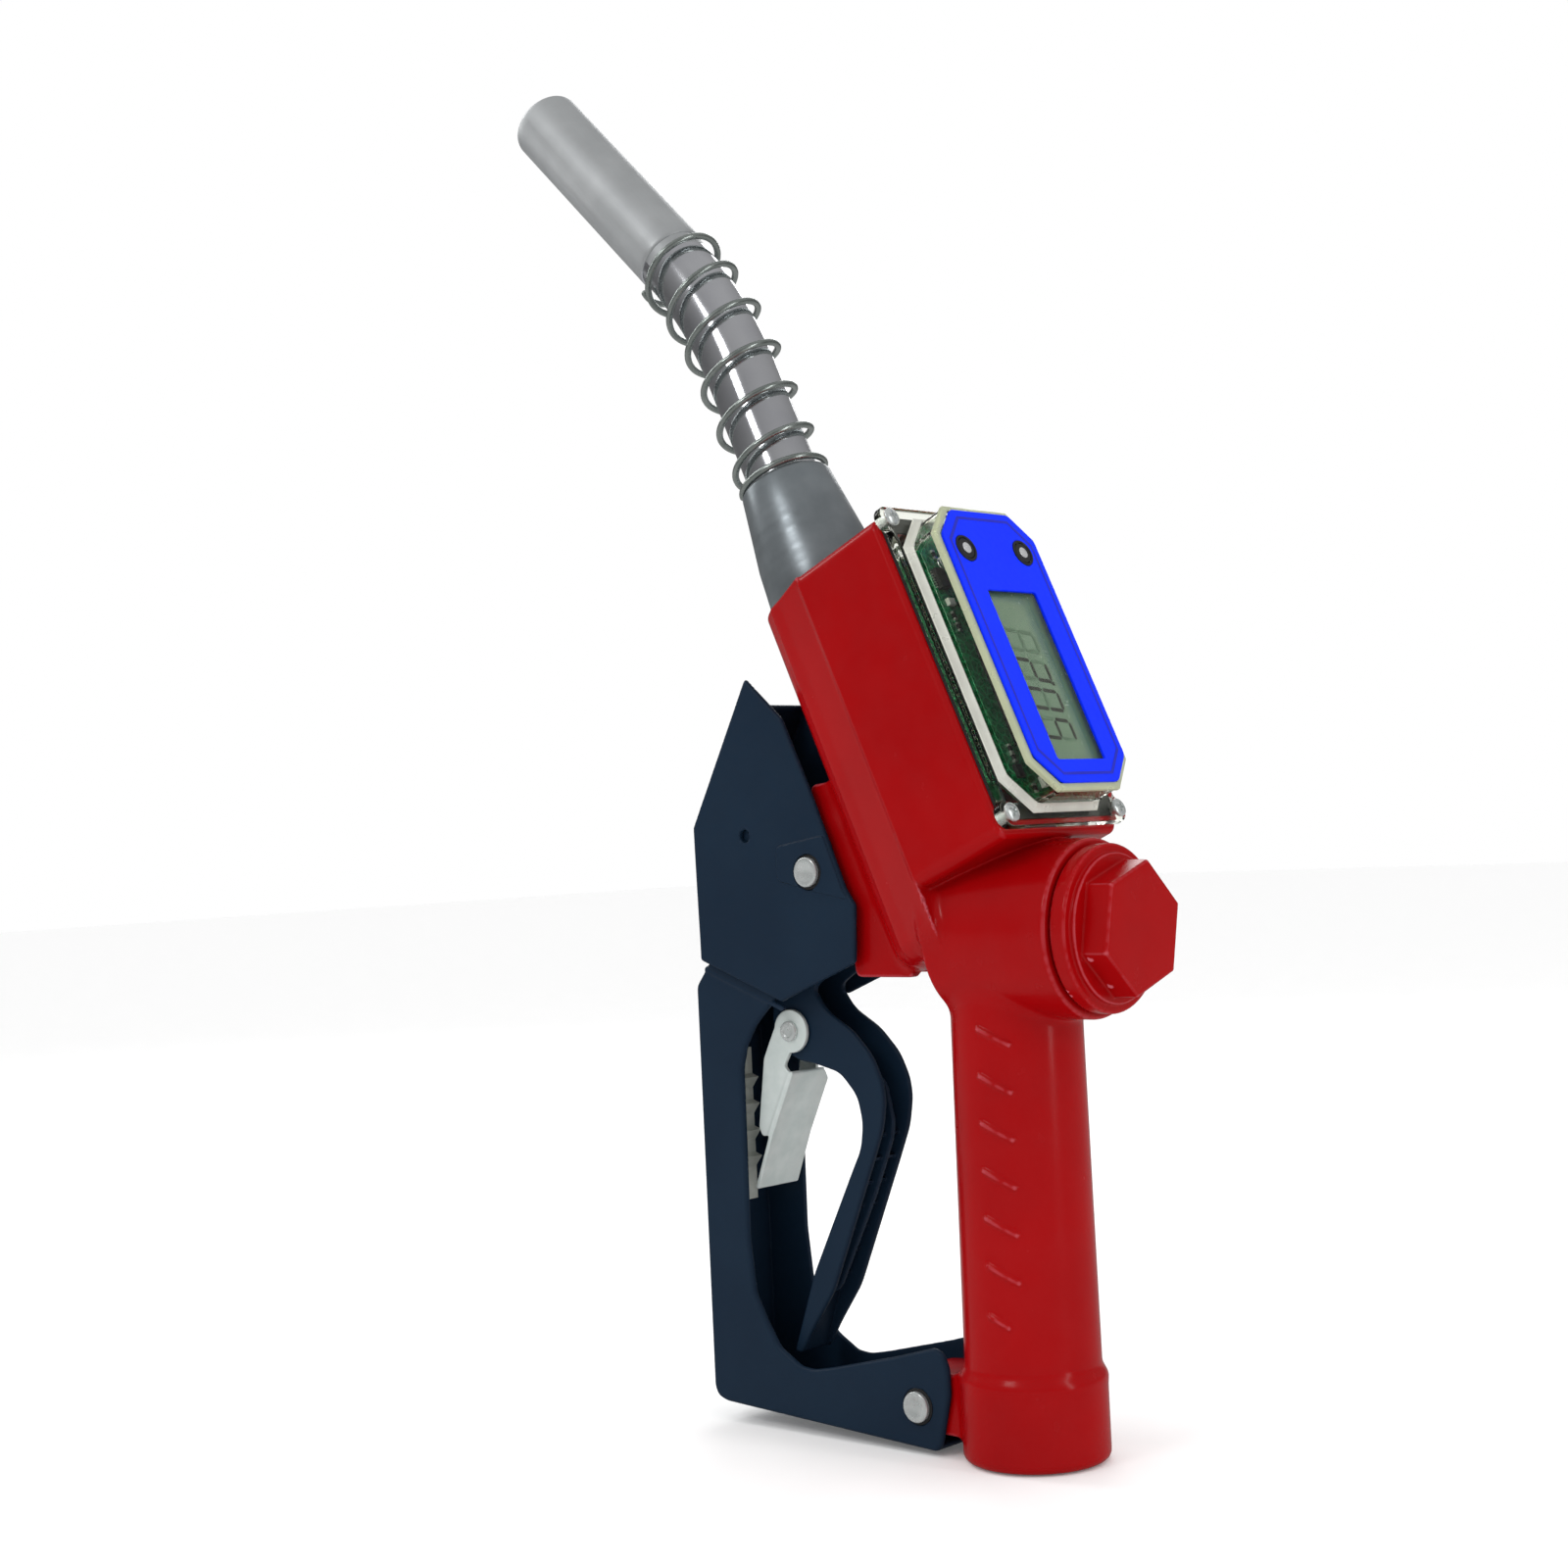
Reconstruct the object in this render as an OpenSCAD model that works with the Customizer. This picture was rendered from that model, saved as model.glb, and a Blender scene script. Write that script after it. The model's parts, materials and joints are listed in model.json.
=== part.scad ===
// Fuel nozzle with an inline digital flow meter.
// Frame: +Z runs up the handle axis from the centre of the inlet face, +X points to the
// valve cap and the meter face, -X to the lever and its guard. The object is symmetric
// about the plane y = 0.

/* [Handle and inlet] */
// Outer diameter of the inlet collar
collar_d = 43.2; // [42.6:0.1:44]
// Height of the inlet collar
collar_h = 26; // [24:0.5:28]
// Grip diameter just above the collar
grip_d_low = 40.2; // [39:0.1:41]
// Grip diameter below the valve chamber
grip_d_high = 38.6; // [37.5:0.1:39.5]
// Diameter of the flow passage in the grip
passage_d = 27; // [24:0.5:28]
// Minor diameter of the inlet thread
inlet_d = 30.3; // [30:0.1:30.6]
// Depth of the inlet thread
inlet_depth = 18; // [16:0.5:20]
// Raised ribs on each side of the grip
rib_count = 7; // [4:1:8]

/* [Valve chamber] */
// Height of the valve chamber axis above the inlet face
valve_z = 154.4; // [154:0.1:155]
// Outer diameter of the valve chamber
boss_d = 52; // [50:0.5:53]
// Where the chamber ends under the cap
boss_end_x = 30; // [29.5:0.1:30.5]
// Start of the wide part of the boss along the valve axis
boss_start_x = -14.4; // [-16:0.1:-13]
// Width of the cap's hexagon across flats
cap_af = 34.1; // [32:0.1:36]
// Outer face of the cap
cap_end_x = 45.95; // [45:0.05:47]
// Turn of the cap's hexagon about its axis, in degrees
cap_turn = 18; // [0:1:60]

/* [Meter housing] */
// Lean of the meter and the spout base from vertical, in degrees
lean = 23.67; // [23.5:0.01:23.8]
// Distance of the flow axis from the origin, across the lean
flow_n = 44.7; // [44.5:0.1:44.9]
// Diameter of the flow passage through the meter
meter_bore_d = 25; // [24.8:0.1:25.2]
// Width of the meter housing
box_w = 58.6; // [58:0.2:60]
// Lower end of the meter housing along the flow
box_low = 158.5; // [158:0.1:159]
// Upper end of the meter housing along the flow
box_high = 262; // [261.8:0.1:262.2]
// Top face of the meter housing
box_top = 91; // [90.5:0.1:91.5]
// Length of the faceplate
face_l = 89; // [86:0.5:90]
// Width of the faceplate
face_w = 44.5; // [43:0.5:45]

/* [Spout] */
// Outer diameter of the spout's end section
tip_d = 24; // [23.5:0.1:24.5]
// Outer diameter of the spout under the spring
tube_d = 22.8; // [22.7:0.1:23]
// Bend of the spout, in degrees
bend = 21; // [18:0.5:24]
// Radius of the bend
bend_r = 145; // [140:1:150]
// Turns of the wire spring round the spout
spout_turns = 7; // [6:0.5:8]
// Outer diameter of the wire spring
spout_spring_d = 30.4; // [30:0.1:31]

/* [Lever and guard] */
// Width of the lever
lever_w = 15; // [14.6:0.1:15.2]
// Width of the lever guard
guard_w = 29.4; // [29:0.1:29.6]
// Wall thickness of the lever guard
guard_wall = 2; // [1.8:0.1:2.1]
// Width of the upper shield
shield_w = 33.4; // [33:0.1:34]

/* [Hidden] */
$fn = 72;
eps = 0.02;
run_gap = 0.05;

// Valve parts along the chamber axis (x positions)
seat_x = -6;
seat_t = 4;
chamber_r = 18;
outlet_r = 13;
outlet_x = -28;
stem_r = 3;
foot_r = 5;
foot_x = -56.4;
foot_t = 2;
gland_x = -44;
gland_boss_r = 9.5;
seal_x = -36;
cap_bore_r = 19;
cap_bore_x = 14;

// Meter parts: n is across the flow away from the lever, al is along the flow
flow_r = meter_bore_d / 2;
cavity_floor = 70;
cavity_low = 168;
cavity_high = 256;
cavity_w = 46;
flange_low = 160.2;
flange_high = 263.8;
flange_w = 60.6;
gasket_t = 0.8;
flange_t = 3;
cover_base = box_top + gasket_t;
dome_top = 106;
dome_wall = 1.8;
face_t = 1;
face_mid = 212;
dome_l = face_l + 3.6;
dome_w = face_w + 3.6;
corner_cut = 8.5;
dome_cut = 9.2;
screw_y = 26.2;
screw_low = 164.2;
screw_high = 259.8;
window_low = 174.8;
window_high = 229.8;
window_w = 23.4;
button_al = 243.4;
button_y = 13.7;
button_r = 3.4;
button_low = 101.6;
button_up = 1.4;
button_hole_r = 3.5;
button_ring_r = 4.3;
board_n = 95.5;
board_t = 1.6;
board_l = 86;
board_w = 42.6;
board_cut = 8;
lcd_low = 101.7;
lcd_high = 104;
lcd_l = 60;
lcd_w = 28.4;
pin_count = 12;
pin_pitch = 2.75;
header_low = 184;
header_y = -14.2;
header_w = 1.4;
rotor_al = 198;
shaft_r = 1;

// Spout
spigot_r = 15;
spigot_low = 247;
adapter_top = 303.5;
tube_low = 278;
bend_al = 343.3;
tip_run = 81.5;
sleeve_lap = 0.5;
port_run = 50;
lower_bore_d = 18.8;
tip_bore_d = 19.6;
spout_wire = 2.2;
spring_start = 216;
// The spout spring's turns and their distance above the adapter, close wound at both ends
spout_coils = [[0, 1.2], [0.7, 2.8], [spout_turns - 0.8, 86.4], [spout_turns, 88.2]];
vacuum_off = 7.1;
vacuum_r = 1.6;

// Automatic shut-off: a chamber below the meter, square to the flow
trip_al = 197.5;
trip_boss_r = 12.5;
trip_low = 12.5;
trip_chamber_r = 8.5;
trip_chamber_top = 20;
plunger_bore_r = 4.55;
plunger_bore_top = 31.5;
cover_low = 10;
cover_r = 12.4;
cover_half_w = 8.8;
cover_screw_off = 10.5;
collar_low = 27;
pivot_n = 3;
pivot_x = pivot_n * cos(lean) - trip_al * sin(lean);
pivot_z = pivot_n * sin(lean) + trip_al * cos(lean);

// Lever parts
lever_in = lever_w / 2 - 2;
lever_out = lever_w / 2;
roller_x = -60.5;
roller_z = 150.5;
roller_r = 4;
roller_pin_r = 1.5;
pivot_pin_r = 2;
pin_end = 8.4;
latch_x = -81.4;
latch_z = 123.7;
latch_pin_r = 1.8;
latch_in = lever_out + 0.4;
latch_t = 1.5;
latch_boss_r = 6.8;

// Guard parts
guard_out = guard_w / 2;
guard_in = guard_out - guard_wall;
shield_out = shield_w / 2;
shield_in = guard_out + 0.2;
cheek_in = 9;
cheek_out = 12.5;
front_pin_x = -64.5;
front_pin_z = 173.4;
rear_pin_x = -32.4;
rear_pin_z = 13.8;
guard_pin_r = 3;
guard_head_r = 4.6;
guard_head_t = 1.5;
rack_z = [72, 112];
rivet_r = 1.5;

// Outlines in the plane y = 0, as [x, z]
guard_wall_path = [[-26.3, 1.1], [-111.5, 5.9], [-115, 7.2], [-116.4, 10], [-116.4, 138],
    [-109.9, 146], [-109.9, 180]];
guard_inner_path = [[-100, 192], [-72, 197], [-57, 182], [-56, 165], [-62, 152], [-76, 140],
    [-86, 131], [-91.5, 126], [-96, 119], [-98, 112], [-98.5, 58], [-96.8, 41.5],
    [-92, 32.5], [-87.4, 25.5], [-79, 20.5], [-73.7, 20], [-66, 21.5], [-41, 27.5],
    [-25.5, 31.8], [-22.2, 30.4], [-20.6, 26], [-20.4, 18.5], [-24.3, 3]];
shield_wall_path = [[-112, 146.3], [-112.8, 188.6], [-92.5, 225.5]];
shield_edge_path = [[-87.6, 234.4], [-73, 221], [-62, 197], [-50, 168], [-46.5, 163],
    [-47.5, 145.5], [-78.2, 133.5]];
lever_front_path = [[-87.5, 23], [-78, 48], [-60.7, 80.5], [-56.5, 88], [-55.3, 96],
    [-57, 104], [-63.5, 111], [-73.6, 113.5], [-81, 114.5], [-88, 119], [-90.5, 126],
    [-90, 138], [-86, 160], [-82, 181]];
lever_back_path = [[-73.6, 177.7], [-59.2, 154], [-55.5, 147], [-63, 143.2], [-73, 137],
    [-68, 130], [-57.8, 124], [-50.5, 116.5], [-47, 109], [-46.2, 103], [-47.8, 94],
    [-53, 82], [-70.5, 43], [-80, 30], [-84.5, 22.5]];
cheek_path = [[-28, 141], [-50.5, 141], [-52, 150], [-60, 160], [-71, 165], [-75, 173],
    [-73, 181], [-67, 190], [-65.5, 200], [-56, 201], [-36, 160]];
lug_path = [[-12, 5.6], [-40, 6.2], [-45, 10], [-45, 17], [-40, 22.5], [-12, 25]];
latch_arm_path = [[-88, 125], [-93.2, 115], [-96.6, 93], [-95.2, 90.2], [-92.5, 90.6],
    [-82.7, 110.6], [-84.6, 112.8], [-81.6, 117.6], [-78, 121]];
latch_panel_path = [[-99, 74.5], [-92.5, 90.6], [-82.7, 110.6]];

// ---- shared helpers ----

// Unit vector of a 2-D direction
function unit(v) = v / norm(v);

// A path moved sideways by t, to the right of its direction
function shifted(path, t) = [for (i = [0 : len(path) - 1])
    let (d = unit(path[min(i + 1, len(path) - 1)] - path[max(i - 1, 0)]))
    path[i] + t * [d[1], -d[0]]];

// A list in reverse order
function reversed(list) = [for (i = [len(list) - 1 : -1 : 0]) list[i]];

// Frame of the meter and the spout base: x across the flow, z along it
module tilted() rotate([0, -lean, 0]) children();

// Flow axis inside the tilted frame
module on_flow(al = 0) tilted() translate([flow_n, 0, al]) children();

// Local +z turned to +x, at a place on the valve axis
module on_valve(x) translate([x, 0, valve_z]) rotate([0, 90, 0]) children();

// Local +z turned across the flow, on the axis of the shut-off chamber
module on_trip(n) tilted() translate([n, 0, trip_al]) rotate([0, 90, 0]) children();

// Both sides of the plane y = 0
module both_sides() for (side = [0, 1]) mirror([0, side, 0]) children();

// An [x, z] outline made solid from y_low to y_high
module slab(y_low, y_high)
    translate([0, y_high, 0]) rotate([90, 0, 0]) linear_extrude(y_high - y_low) children();

// A rod along y at [x, z]
module cross_rod(x, z, r, half) translate([x, half, z]) rotate([90, 0, 0]) cylinder(r = r, h = 2 * half);

// A straight tube
module tube(r_out, r_in, h) difference() {
    cylinder(r = r_out, h = h);
    translate([0, 0, -1]) cylinder(r = r_in, h = h + 2);
}

// A torus about z
module ring(r_major, r_wire) rotate_extrude() translate([r_major, 0]) circle(r = r_wire, $fn = 24);

// A rectangle with its four corners cut, centred
module cut_rectangle(l, w, cut) polygon([for (sx = [1, -1]) for (k = [0, 1])
    for (sy = k == 0 ? [-sx] : [sx])
    each sx * sy < 0
        ? [[sx * (l / 2 - cut), sy * w / 2], [sx * l / 2, sy * (w / 2 - cut)]]
        : [[sx * l / 2, sy * (w / 2 - cut)], [sx * (l / 2 - cut), sy * w / 2]]]);

// A rectangle with round corners, from low to high along the flow
module round_rectangle(low, high, w, r) {
    translate([low, -w / 2 + r]) square([high - low, w - 2 * r]);
    translate([low + r, -w / 2]) square([high - low - 2 * r, w]);
    for (x = [low + r, high - r])
        for (y = [-w / 2 + r, w / 2 - r])
            translate([x, y]) circle(r = r, $fn = 32);
}

// A plan drawn as [al, y], raised across the flow from n_low to n_high
module raised(n_low, n_high)
    tilted() translate([n_low, 0, 0]) rotate([90, 0, 90]) rotate([0, 0, 90]) mirror([0, 1, 0])
        linear_extrude(n_high - n_low) children();

// Closed wire swept through points, each ring lying across the local direction
function wire_rings(points, r, sides) = [for (i = [0 : len(points) - 1])
    let (a = points[max(i - 1, 0)], b = points[min(i + 1, len(points) - 1)],
         t = (b - a) / norm(b - a),
         ref = abs(t[1]) < 0.9 ? [0, 1, 0] : [1, 0, 0],
         u = cross(t, ref) / norm(cross(t, ref)), v = cross(t, u))
    for (k = [0 : sides - 1]) points[i] + r * (cos(360 * k / sides) * u + sin(360 * k / sides) * v)];

module wire(points, r, sides = 6) {
    n = len(points);
    polyhedron(
        points = wire_rings(points, r, sides),
        faces = concat(
            [[for (k = [0 : sides - 1]) k]],
            [[for (k = [sides - 1 : -1 : 0]) (n - 1) * sides + k]],
            [for (i = [0 : n - 2]) for (k = [0 : sides - 1])
                [i * sides + k, (i + 1) * sides + k, (i + 1) * sides + (k + 1) % sides,
                 i * sides + (k + 1) % sides]]),
        convexity = 8);
}

// Points of a plain coil spring about z, from z = 0 to h
function coil(r, h, turns, steps = 16) = [for (i = [0 : turns * steps])
    let (a = 360 * i / steps) [r * cos(a), r * sin(a), h * i / (turns * steps)]];

module coil_spring(r, wire_r, h, turns)
    translate([0, 0, wire_r]) wire(coil(r, h - 2 * wire_r, turns), wire_r);

// ---- body ----

module grip_and_collar() {
    r = collar_d / 2;
    edge = 2.5;
    rotate_extrude() polygon(concat([[0, 0]],
        [for (a = [-90 : 15 : 0]) [r - edge + edge * cos(a), edge + edge * sin(a)]],
        [[r, collar_h], [grip_d_low / 2, collar_h + 3], [grip_d_high / 2, 138],
         [grip_d_high / 2, 150], [0, 150]]));
}

// Slanting ribs on both sides of the grip
module grip_ribs() {
    first_z = 43.2;
    last_z = 124.6;
    slope = 26.6;
    both_sides() for (i = [0 : rib_count - 1]) {
        share = i / (rib_count - 1);
        ring_r = (grip_d_low + (grip_d_high - grip_d_low) * share) / 2 - 0.45;
        spread = i == 0 ? 19 : 30;
        turn = i == 0 ? 10 : 15;
        translate([0, 0, first_z + (last_z - first_z) * share])
            rotate([0, 0, turn]) rotate([0, slope, 0]) rotate([0, 0, -90 - spread / 2]) {
                rotate_extrude(angle = spread) translate([ring_r, 0]) circle(r = 1, $fn = 16);
                for (end = [0, spread]) rotate([0, 0, end]) translate([ring_r, 0, 0]) sphere(r = 1, $fn = 16);
            }
    }
}

// Rounded channel section that carries the flow under the meter box
module channel_section() {
    round_r = 15;
    round_n = 42.8;
    round_y = 7;
    ridge_n = 57;
    ridge_y = box_w / 2 - 0.4;
    for (s = [-1, 1]) translate([round_n, s * round_y]) circle(r = round_r);
    polygon([[ridge_n, -ridge_y], [ridge_n, ridge_y], [37.4, 21], [27.8, round_y], [27.8, -round_y],
        [37.4, -21]]);
}

module body_casting() color("firebrick") difference() {
    union() {
        grip_and_collar();
        grip_ribs();
        on_valve(boss_start_x) cylinder(r = boss_d / 2, h = boss_end_x - boss_start_x - 1.5);
        on_valve(-18) cylinder(r = boss_d / 2 - 4.5, h = 10);
        on_valve(boss_end_x - 1.5) cylinder(r1 = boss_d / 2, r2 = boss_d / 2 - 1.5, h = 1.5);
        tilted() translate([0, 0, 141]) linear_extrude(box_high - 141) channel_section();
        raised(57 - eps, box_top) round_rectangle(box_low, box_high, box_w, 4);
        both_sides() slab(cheek_in, cheek_out) polygon(cheek_path);
        slab(-guard_in + 0.3, guard_in - 0.3) polygon(lug_path);
        on_trip(trip_low) cylinder(r = trip_boss_r, h = 22);
        on_valve(gland_x) cylinder(r = gland_boss_r, h = 20);
    }
    // inlet and passage up the handle
    translate([0, 0, -1]) cylinder(r = inlet_d / 2, h = inlet_depth + 1);
    cylinder(r = passage_d / 2, h = 112);
    translate([3, 0, 104]) rotate([0, 8, 0]) cylinder(r = 8.5, h = 42);
    // valve chamber
    on_valve(seat_x) cylinder(r = chamber_r, h = boss_end_x - seat_x + 1);
    on_valve(cap_bore_x) cylinder(r = cap_bore_r, h = boss_end_x - cap_bore_x + 1);
    on_valve(seat_x - seat_t) cylinder(r = 16, h = seat_t + 1);
    on_valve(outlet_x) cylinder(r = outlet_r, h = seat_x - seat_t - outlet_x + 1);
    on_valve(gland_x - 2) cylinder(r = stem_r + 0.2, h = outlet_x - gland_x + 3);
    on_valve(gland_x - 1) cylinder(r = 6, h = seal_x - gland_x + 1);
    on_valve(seal_x - 1) cylinder(r = 5.5, h = 7);
    // flow passage and adapter socket
    on_flow(150) cylinder(r = flow_r, h = box_high - 149);
    on_flow(spigot_low) cylinder(r = spigot_r, h = box_high - spigot_low + 1);
    // meter cavity, sensor pocket and screw holes
    raised(cavity_floor, box_top + 1) round_rectangle(cavity_low, cavity_high, cavity_w, 4);
    tilted() translate([60.5, 0, rotor_al]) rotate([0, 90, 0]) cylinder(r = 4.1, h = 12);
    for (al = [screw_low, screw_high]) both_sides()
        tilted() translate([box_top - 10, screw_y, al]) rotate([0, 90, 0]) cylinder(r = 1.5, h = 12, $fn = 24);
    // shut-off chamber
    on_trip(trip_low - 1) cylinder(r = trip_chamber_r, h = trip_chamber_top - trip_low + 1);
    on_trip(trip_low) cylinder(r = plunger_bore_r, h = plunger_bore_top - trip_low);
    cover_screw_places() cylinder(r = 1.2, h = 8, $fn = 24);
    // guard pins
    both_sides() translate([front_pin_x, -cheek_in + 1, front_pin_z]) rotate([90, 0, 0])
        cylinder(r = guard_pin_r + run_gap, h = 6);
    cross_rod(rear_pin_x, rear_pin_z, guard_pin_r + run_gap, 15);
}

// ---- main valve ----

module valve_cap() color("firebrick") {
    neck_x = boss_end_x + 5.8;
    difference() {
        union() {
            on_valve(16) cylinder(r = cap_bore_r - run_gap, h = boss_end_x - 15);
            on_valve(boss_end_x + 0.6) cylinder(r = 24.3, h = 4.2);
            on_valve(boss_end_x + 4.8) cylinder(r1 = 24.3, r2 = 23.3, h = 1);
            on_valve(neck_x) cylinder(r = 21.6, h = 1.6);
            on_valve(neck_x + 1.4) rotate([0, 0, -cap_turn])
                cylinder(d = cap_af / cos(30), h = cap_end_x - neck_x - 1.4, $fn = 6);
        }
        on_valve(15) cylinder(r = 15, h = 18);
        on_valve(boss_end_x) tube(22.3, cap_bore_r, 2.3);
    }
}

module cap_oring() color("black") on_valve(boss_end_x + 1.15) ring(20.7, 1.1);

module valve_seat() color("goldenrod") on_valve(seat_x - seat_t) tube(16 - run_gap, 9.5, seat_t);

module main_poppet() color("goldenrod") difference() {
    union() {
        on_valve(seat_x + 1.6) cylinder(r = 13.5, h = 4);
        on_valve(seat_x + 5.5) cylinder(r = 6, h = 8);
    }
    on_valve(seat_x) cylinder(r = stem_r + 0.01, h = 15);
}

module poppet_seal() color("black") on_valve(seat_x + 0.05) tube(12.6, stem_r + 0.01, 1.5);

module poppet_spring() color("silver") on_valve(seat_x + 5.7) coil_spring(9, 0.9, 32.6, 6);

module valve_stem() color("silver") {
    on_valve(foot_x) cylinder(r = foot_r, h = foot_t);
    on_valve(foot_x + foot_t - eps) cylinder(r = stem_r, h = 62);
}

module gland_nut() color("goldenrod") difference() {
    union() {
        on_valve(gland_x + 0.02) cylinder(r = 6 - run_gap, h = 7.5);
        on_valve(gland_x - 1) cylinder(r = 5.3, h = 1.1, $fn = 6);
    }
    on_valve(gland_x - 2) cylinder(r = stem_r + run_gap, h = 12);
}

module stem_seals() color("black") for (x = [-34.4, -31.6]) on_valve(x) ring(4.28, 1.2);

module inlet_strainer() color("silver") {
    strainer_r = 12.6;
    strainer_low = 20;
    strainer_h = 50;
    slot_rows = 4;
    translate([0, 0, strainer_low]) difference() {
        cylinder(r = strainer_r, h = strainer_h);
        translate([0, 0, -1]) cylinder(r = strainer_r - 0.7, h = strainer_h);
        for (row = [0 : slot_rows - 1]) for (a = [0 : 60 : 120])
            translate([0, 0, 7 + row * 11]) rotate([0, 0, a]) cube([2 * strainer_r + 2, 5, 7], center = true);
    }
}

// ---- flow meter ----

module vane_ring(al, h, vanes) difference() {
    union() {
        on_flow(al) tube(flow_r - run_gap, flow_r - 1, h);
        on_flow(al) cylinder(r = 3.4, h = h);
        for (i = [0 : vanes - 1]) on_flow(al) rotate([0, 0, i * 360 / vanes])
            translate([3, -0.5, 0]) cube([flow_r - 3.6, 1, h]);
    }
    on_flow(al - 1) cylinder(r = 2.2, h = h + 2);
}

module flow_straightener_in() color("whitesmoke") vane_ring(172, 12, 4);

module flow_straightener_out() color("whitesmoke") vane_ring(212, 12, 4);

module rotor_bushes() color("goldenrod") for (al = [174, 212]) on_flow(al) tube(2.2 - eps, shaft_r + run_gap, 10);

module turbine_rotor() color("whitesmoke") difference() {
    rotor_l = 12;
    hub_r = 4;
    blade_r = 11.7;
    blade_t = 1.4;
    blade_turn = 32;
    blades = 6;
    intersection() {
        on_flow(rotor_al - rotor_l / 2) cylinder(r = blade_r, h = rotor_l);
        union() {
            on_flow(rotor_al - rotor_l / 2) cylinder(r = hub_r, h = rotor_l);
            for (i = [0 : blades - 1]) on_flow(rotor_al)
                rotate([0, 0, i * 360 / blades]) rotate([blade_turn, 0, 0])
                    translate([hub_r - 1, -blade_t / 2, -9]) cube([blade_r, blade_t, 18]);
        }
    }
    on_flow(rotor_al - 8) cylinder(r = shaft_r, h = 16);
}

module rotor_shaft() color("silver") on_flow(175) cylinder(r = shaft_r - 0.002, h = 46);

module pickup_sensor() color("dimgray") {
    tilted() translate([60.6, 0, rotor_al]) rotate([0, 90, 0]) cylinder(r = 4, h = 11);
    tilted() translate([cavity_floor + 0.1, 0, rotor_al]) rotate([0, 90, 0]) cylinder(r = 5.5, h = 2);
}

module battery_cells() color("slategray") {
    cell_r = 5.2;
    cell_l = 43;
    cell_y = 13.5;
    cell_n = 79.5;
    cell_low = 190;
    for (y = [-cell_y, cell_y]) tilted() translate([cell_n, y, cell_low]) {
        cylinder(r = cell_r, h = cell_l);
        translate([0, 0, cell_l - eps]) cylinder(r = 1.9, h = 1.2);
    }
}

// ---- spout end of the flow ----

module venturi_ring() color("goldenrod") on_flow(234) difference() {
    cylinder(r = flow_r - run_gap, h = 6);
    translate([0, 0, -1]) cylinder(r = 7.5, h = 8);
    translate([0, 0, -0.01]) cylinder(r1 = 11, r2 = 7.5, h = 3);
}

module check_poppet() color("goldenrod") on_flow(240.1) {
    cylinder(r = 9.5, h = 2.6);
    translate([0, 0, 2.6 - eps]) cylinder(r = 1.5, h = 25);
}

module check_spring() color("silver") on_flow(242.8) coil_spring(5, 0.5, 15, 5);

module check_guide() color("silver") on_flow(258) difference() {
    union() {
        tube(11.45, 10.4, 3);
        cylinder(r = 3.2, h = 3);
        for (i = [0 : 2]) rotate([0, 0, i * 120]) translate([2.5, -0.6, 0]) cube([8.4, 1.2, 3]);
    }
    translate([0, 0, -1]) cylinder(r = 1.5 + run_gap, h = 5);
}

module spout_adapter() color("dimgray") on_flow() difference() {
    rotate_extrude() polygon([[11.5, spigot_low + 0.3], [spigot_r - run_gap, spigot_low + 0.3],
        [spigot_r - run_gap, box_high + 0.05], [19, box_high + 0.05], [18.05, 278],
        [14.8, adapter_top - 0.6], [14.2, adapter_top],
        [tube_d / 2 + run_gap, adapter_top], [tube_d / 2 + run_gap, tube_low], [11.5, tube_low - 4]]);
    translate([0, 0, 284]) tube(13.3, tube_d / 2 - 1, 1.9);
    translate([0, 0, 292]) rotate([0, -90, 0]) cylinder(r = 2, h = 20);
}

module spout_oring() color("black") on_flow(284.95) ring(12.33, 0.88);

module spout_set_screw() color("silver") on_flow(292) rotate([0, -90, 0]) translate([0, 0, 11.5]) difference() {
    cylinder(r = 1.95, h = 4);
    translate([0, 0, 2]) cylinder(r = 1, h = 3, $fn = 6);
}

// A round bar along the spout's centre line, moved sideways by off towards the inside of the
// bend. Past the bend it goes on with the radius r_end, to run_to.
module spout_bar(r, r_end, al_low, run_to, off = 0) {
    translate([-off, 0, al_low]) cylinder(r = r, h = bend_al - al_low);
    translate([-bend_r, 0, bend_al]) {
        rotate([90, 0, 0]) rotate_extrude(angle = bend) translate([bend_r - off, 0]) circle(r = r);
        rotate([0, -bend, 0]) translate([bend_r - off, 0, -sleeve_lap])
            cylinder(r = r_end, h = run_to + sleeve_lap);
    }
}

// Place on the spout's axis, run millimetres past the bend
module on_tip(run) on_flow() translate([-bend_r, 0, bend_al]) rotate([0, -bend, 0])
    translate([bend_r, 0, run]) children();

module spout_tube() color("gainsboro") difference() {
    on_flow() difference() {
        spout_bar(tube_d / 2, tip_d / 2, tube_low, tip_run);
        spout_bar(lower_bore_d / 2, tip_bore_d / 2, tube_low - 1, tip_run + 1);
    }
    on_tip(port_run) rotate([0, -90, 0]) cylinder(r = 2.3, h = 14);
}

// Centre line of the spout by its length s above the adapter: [n, al, turn]
function spout_point(s) =
    let (straight = bend_al - adapter_top, arc = bend_r * bend * PI / 180)
    s <= straight ? [0, adapter_top + s, 0]
    : s <= straight + arc
        ? let (a = (s - straight) / bend_r * 180 / PI)
            [bend_r * (cos(a) - 1), bend_al + bend_r * sin(a), a]
        : let (run = s - straight - arc)
            [bend_r * (cos(bend) - 1) - run * sin(bend),
             bend_al + bend_r * sin(bend) + run * cos(bend), bend];

// Wire of the spout spring
function spout_wire_points(steps = 22) =
    let (r = (spout_spring_d - spout_wire) / 2)
    [for (i = [0 : spout_turns * steps])
        let (turn = i / steps, c = spout_point(lookup(turn, spout_coils)),
             a = spring_start + 360 * turn, q = r * cos(a))
        [c[0] + q * cos(c[2]), r * sin(a), c[1] + q * sin(c[2])]];

module spout_spring() color("silver") on_flow() wire(spout_wire_points(), spout_wire / 2, 8);

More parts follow.
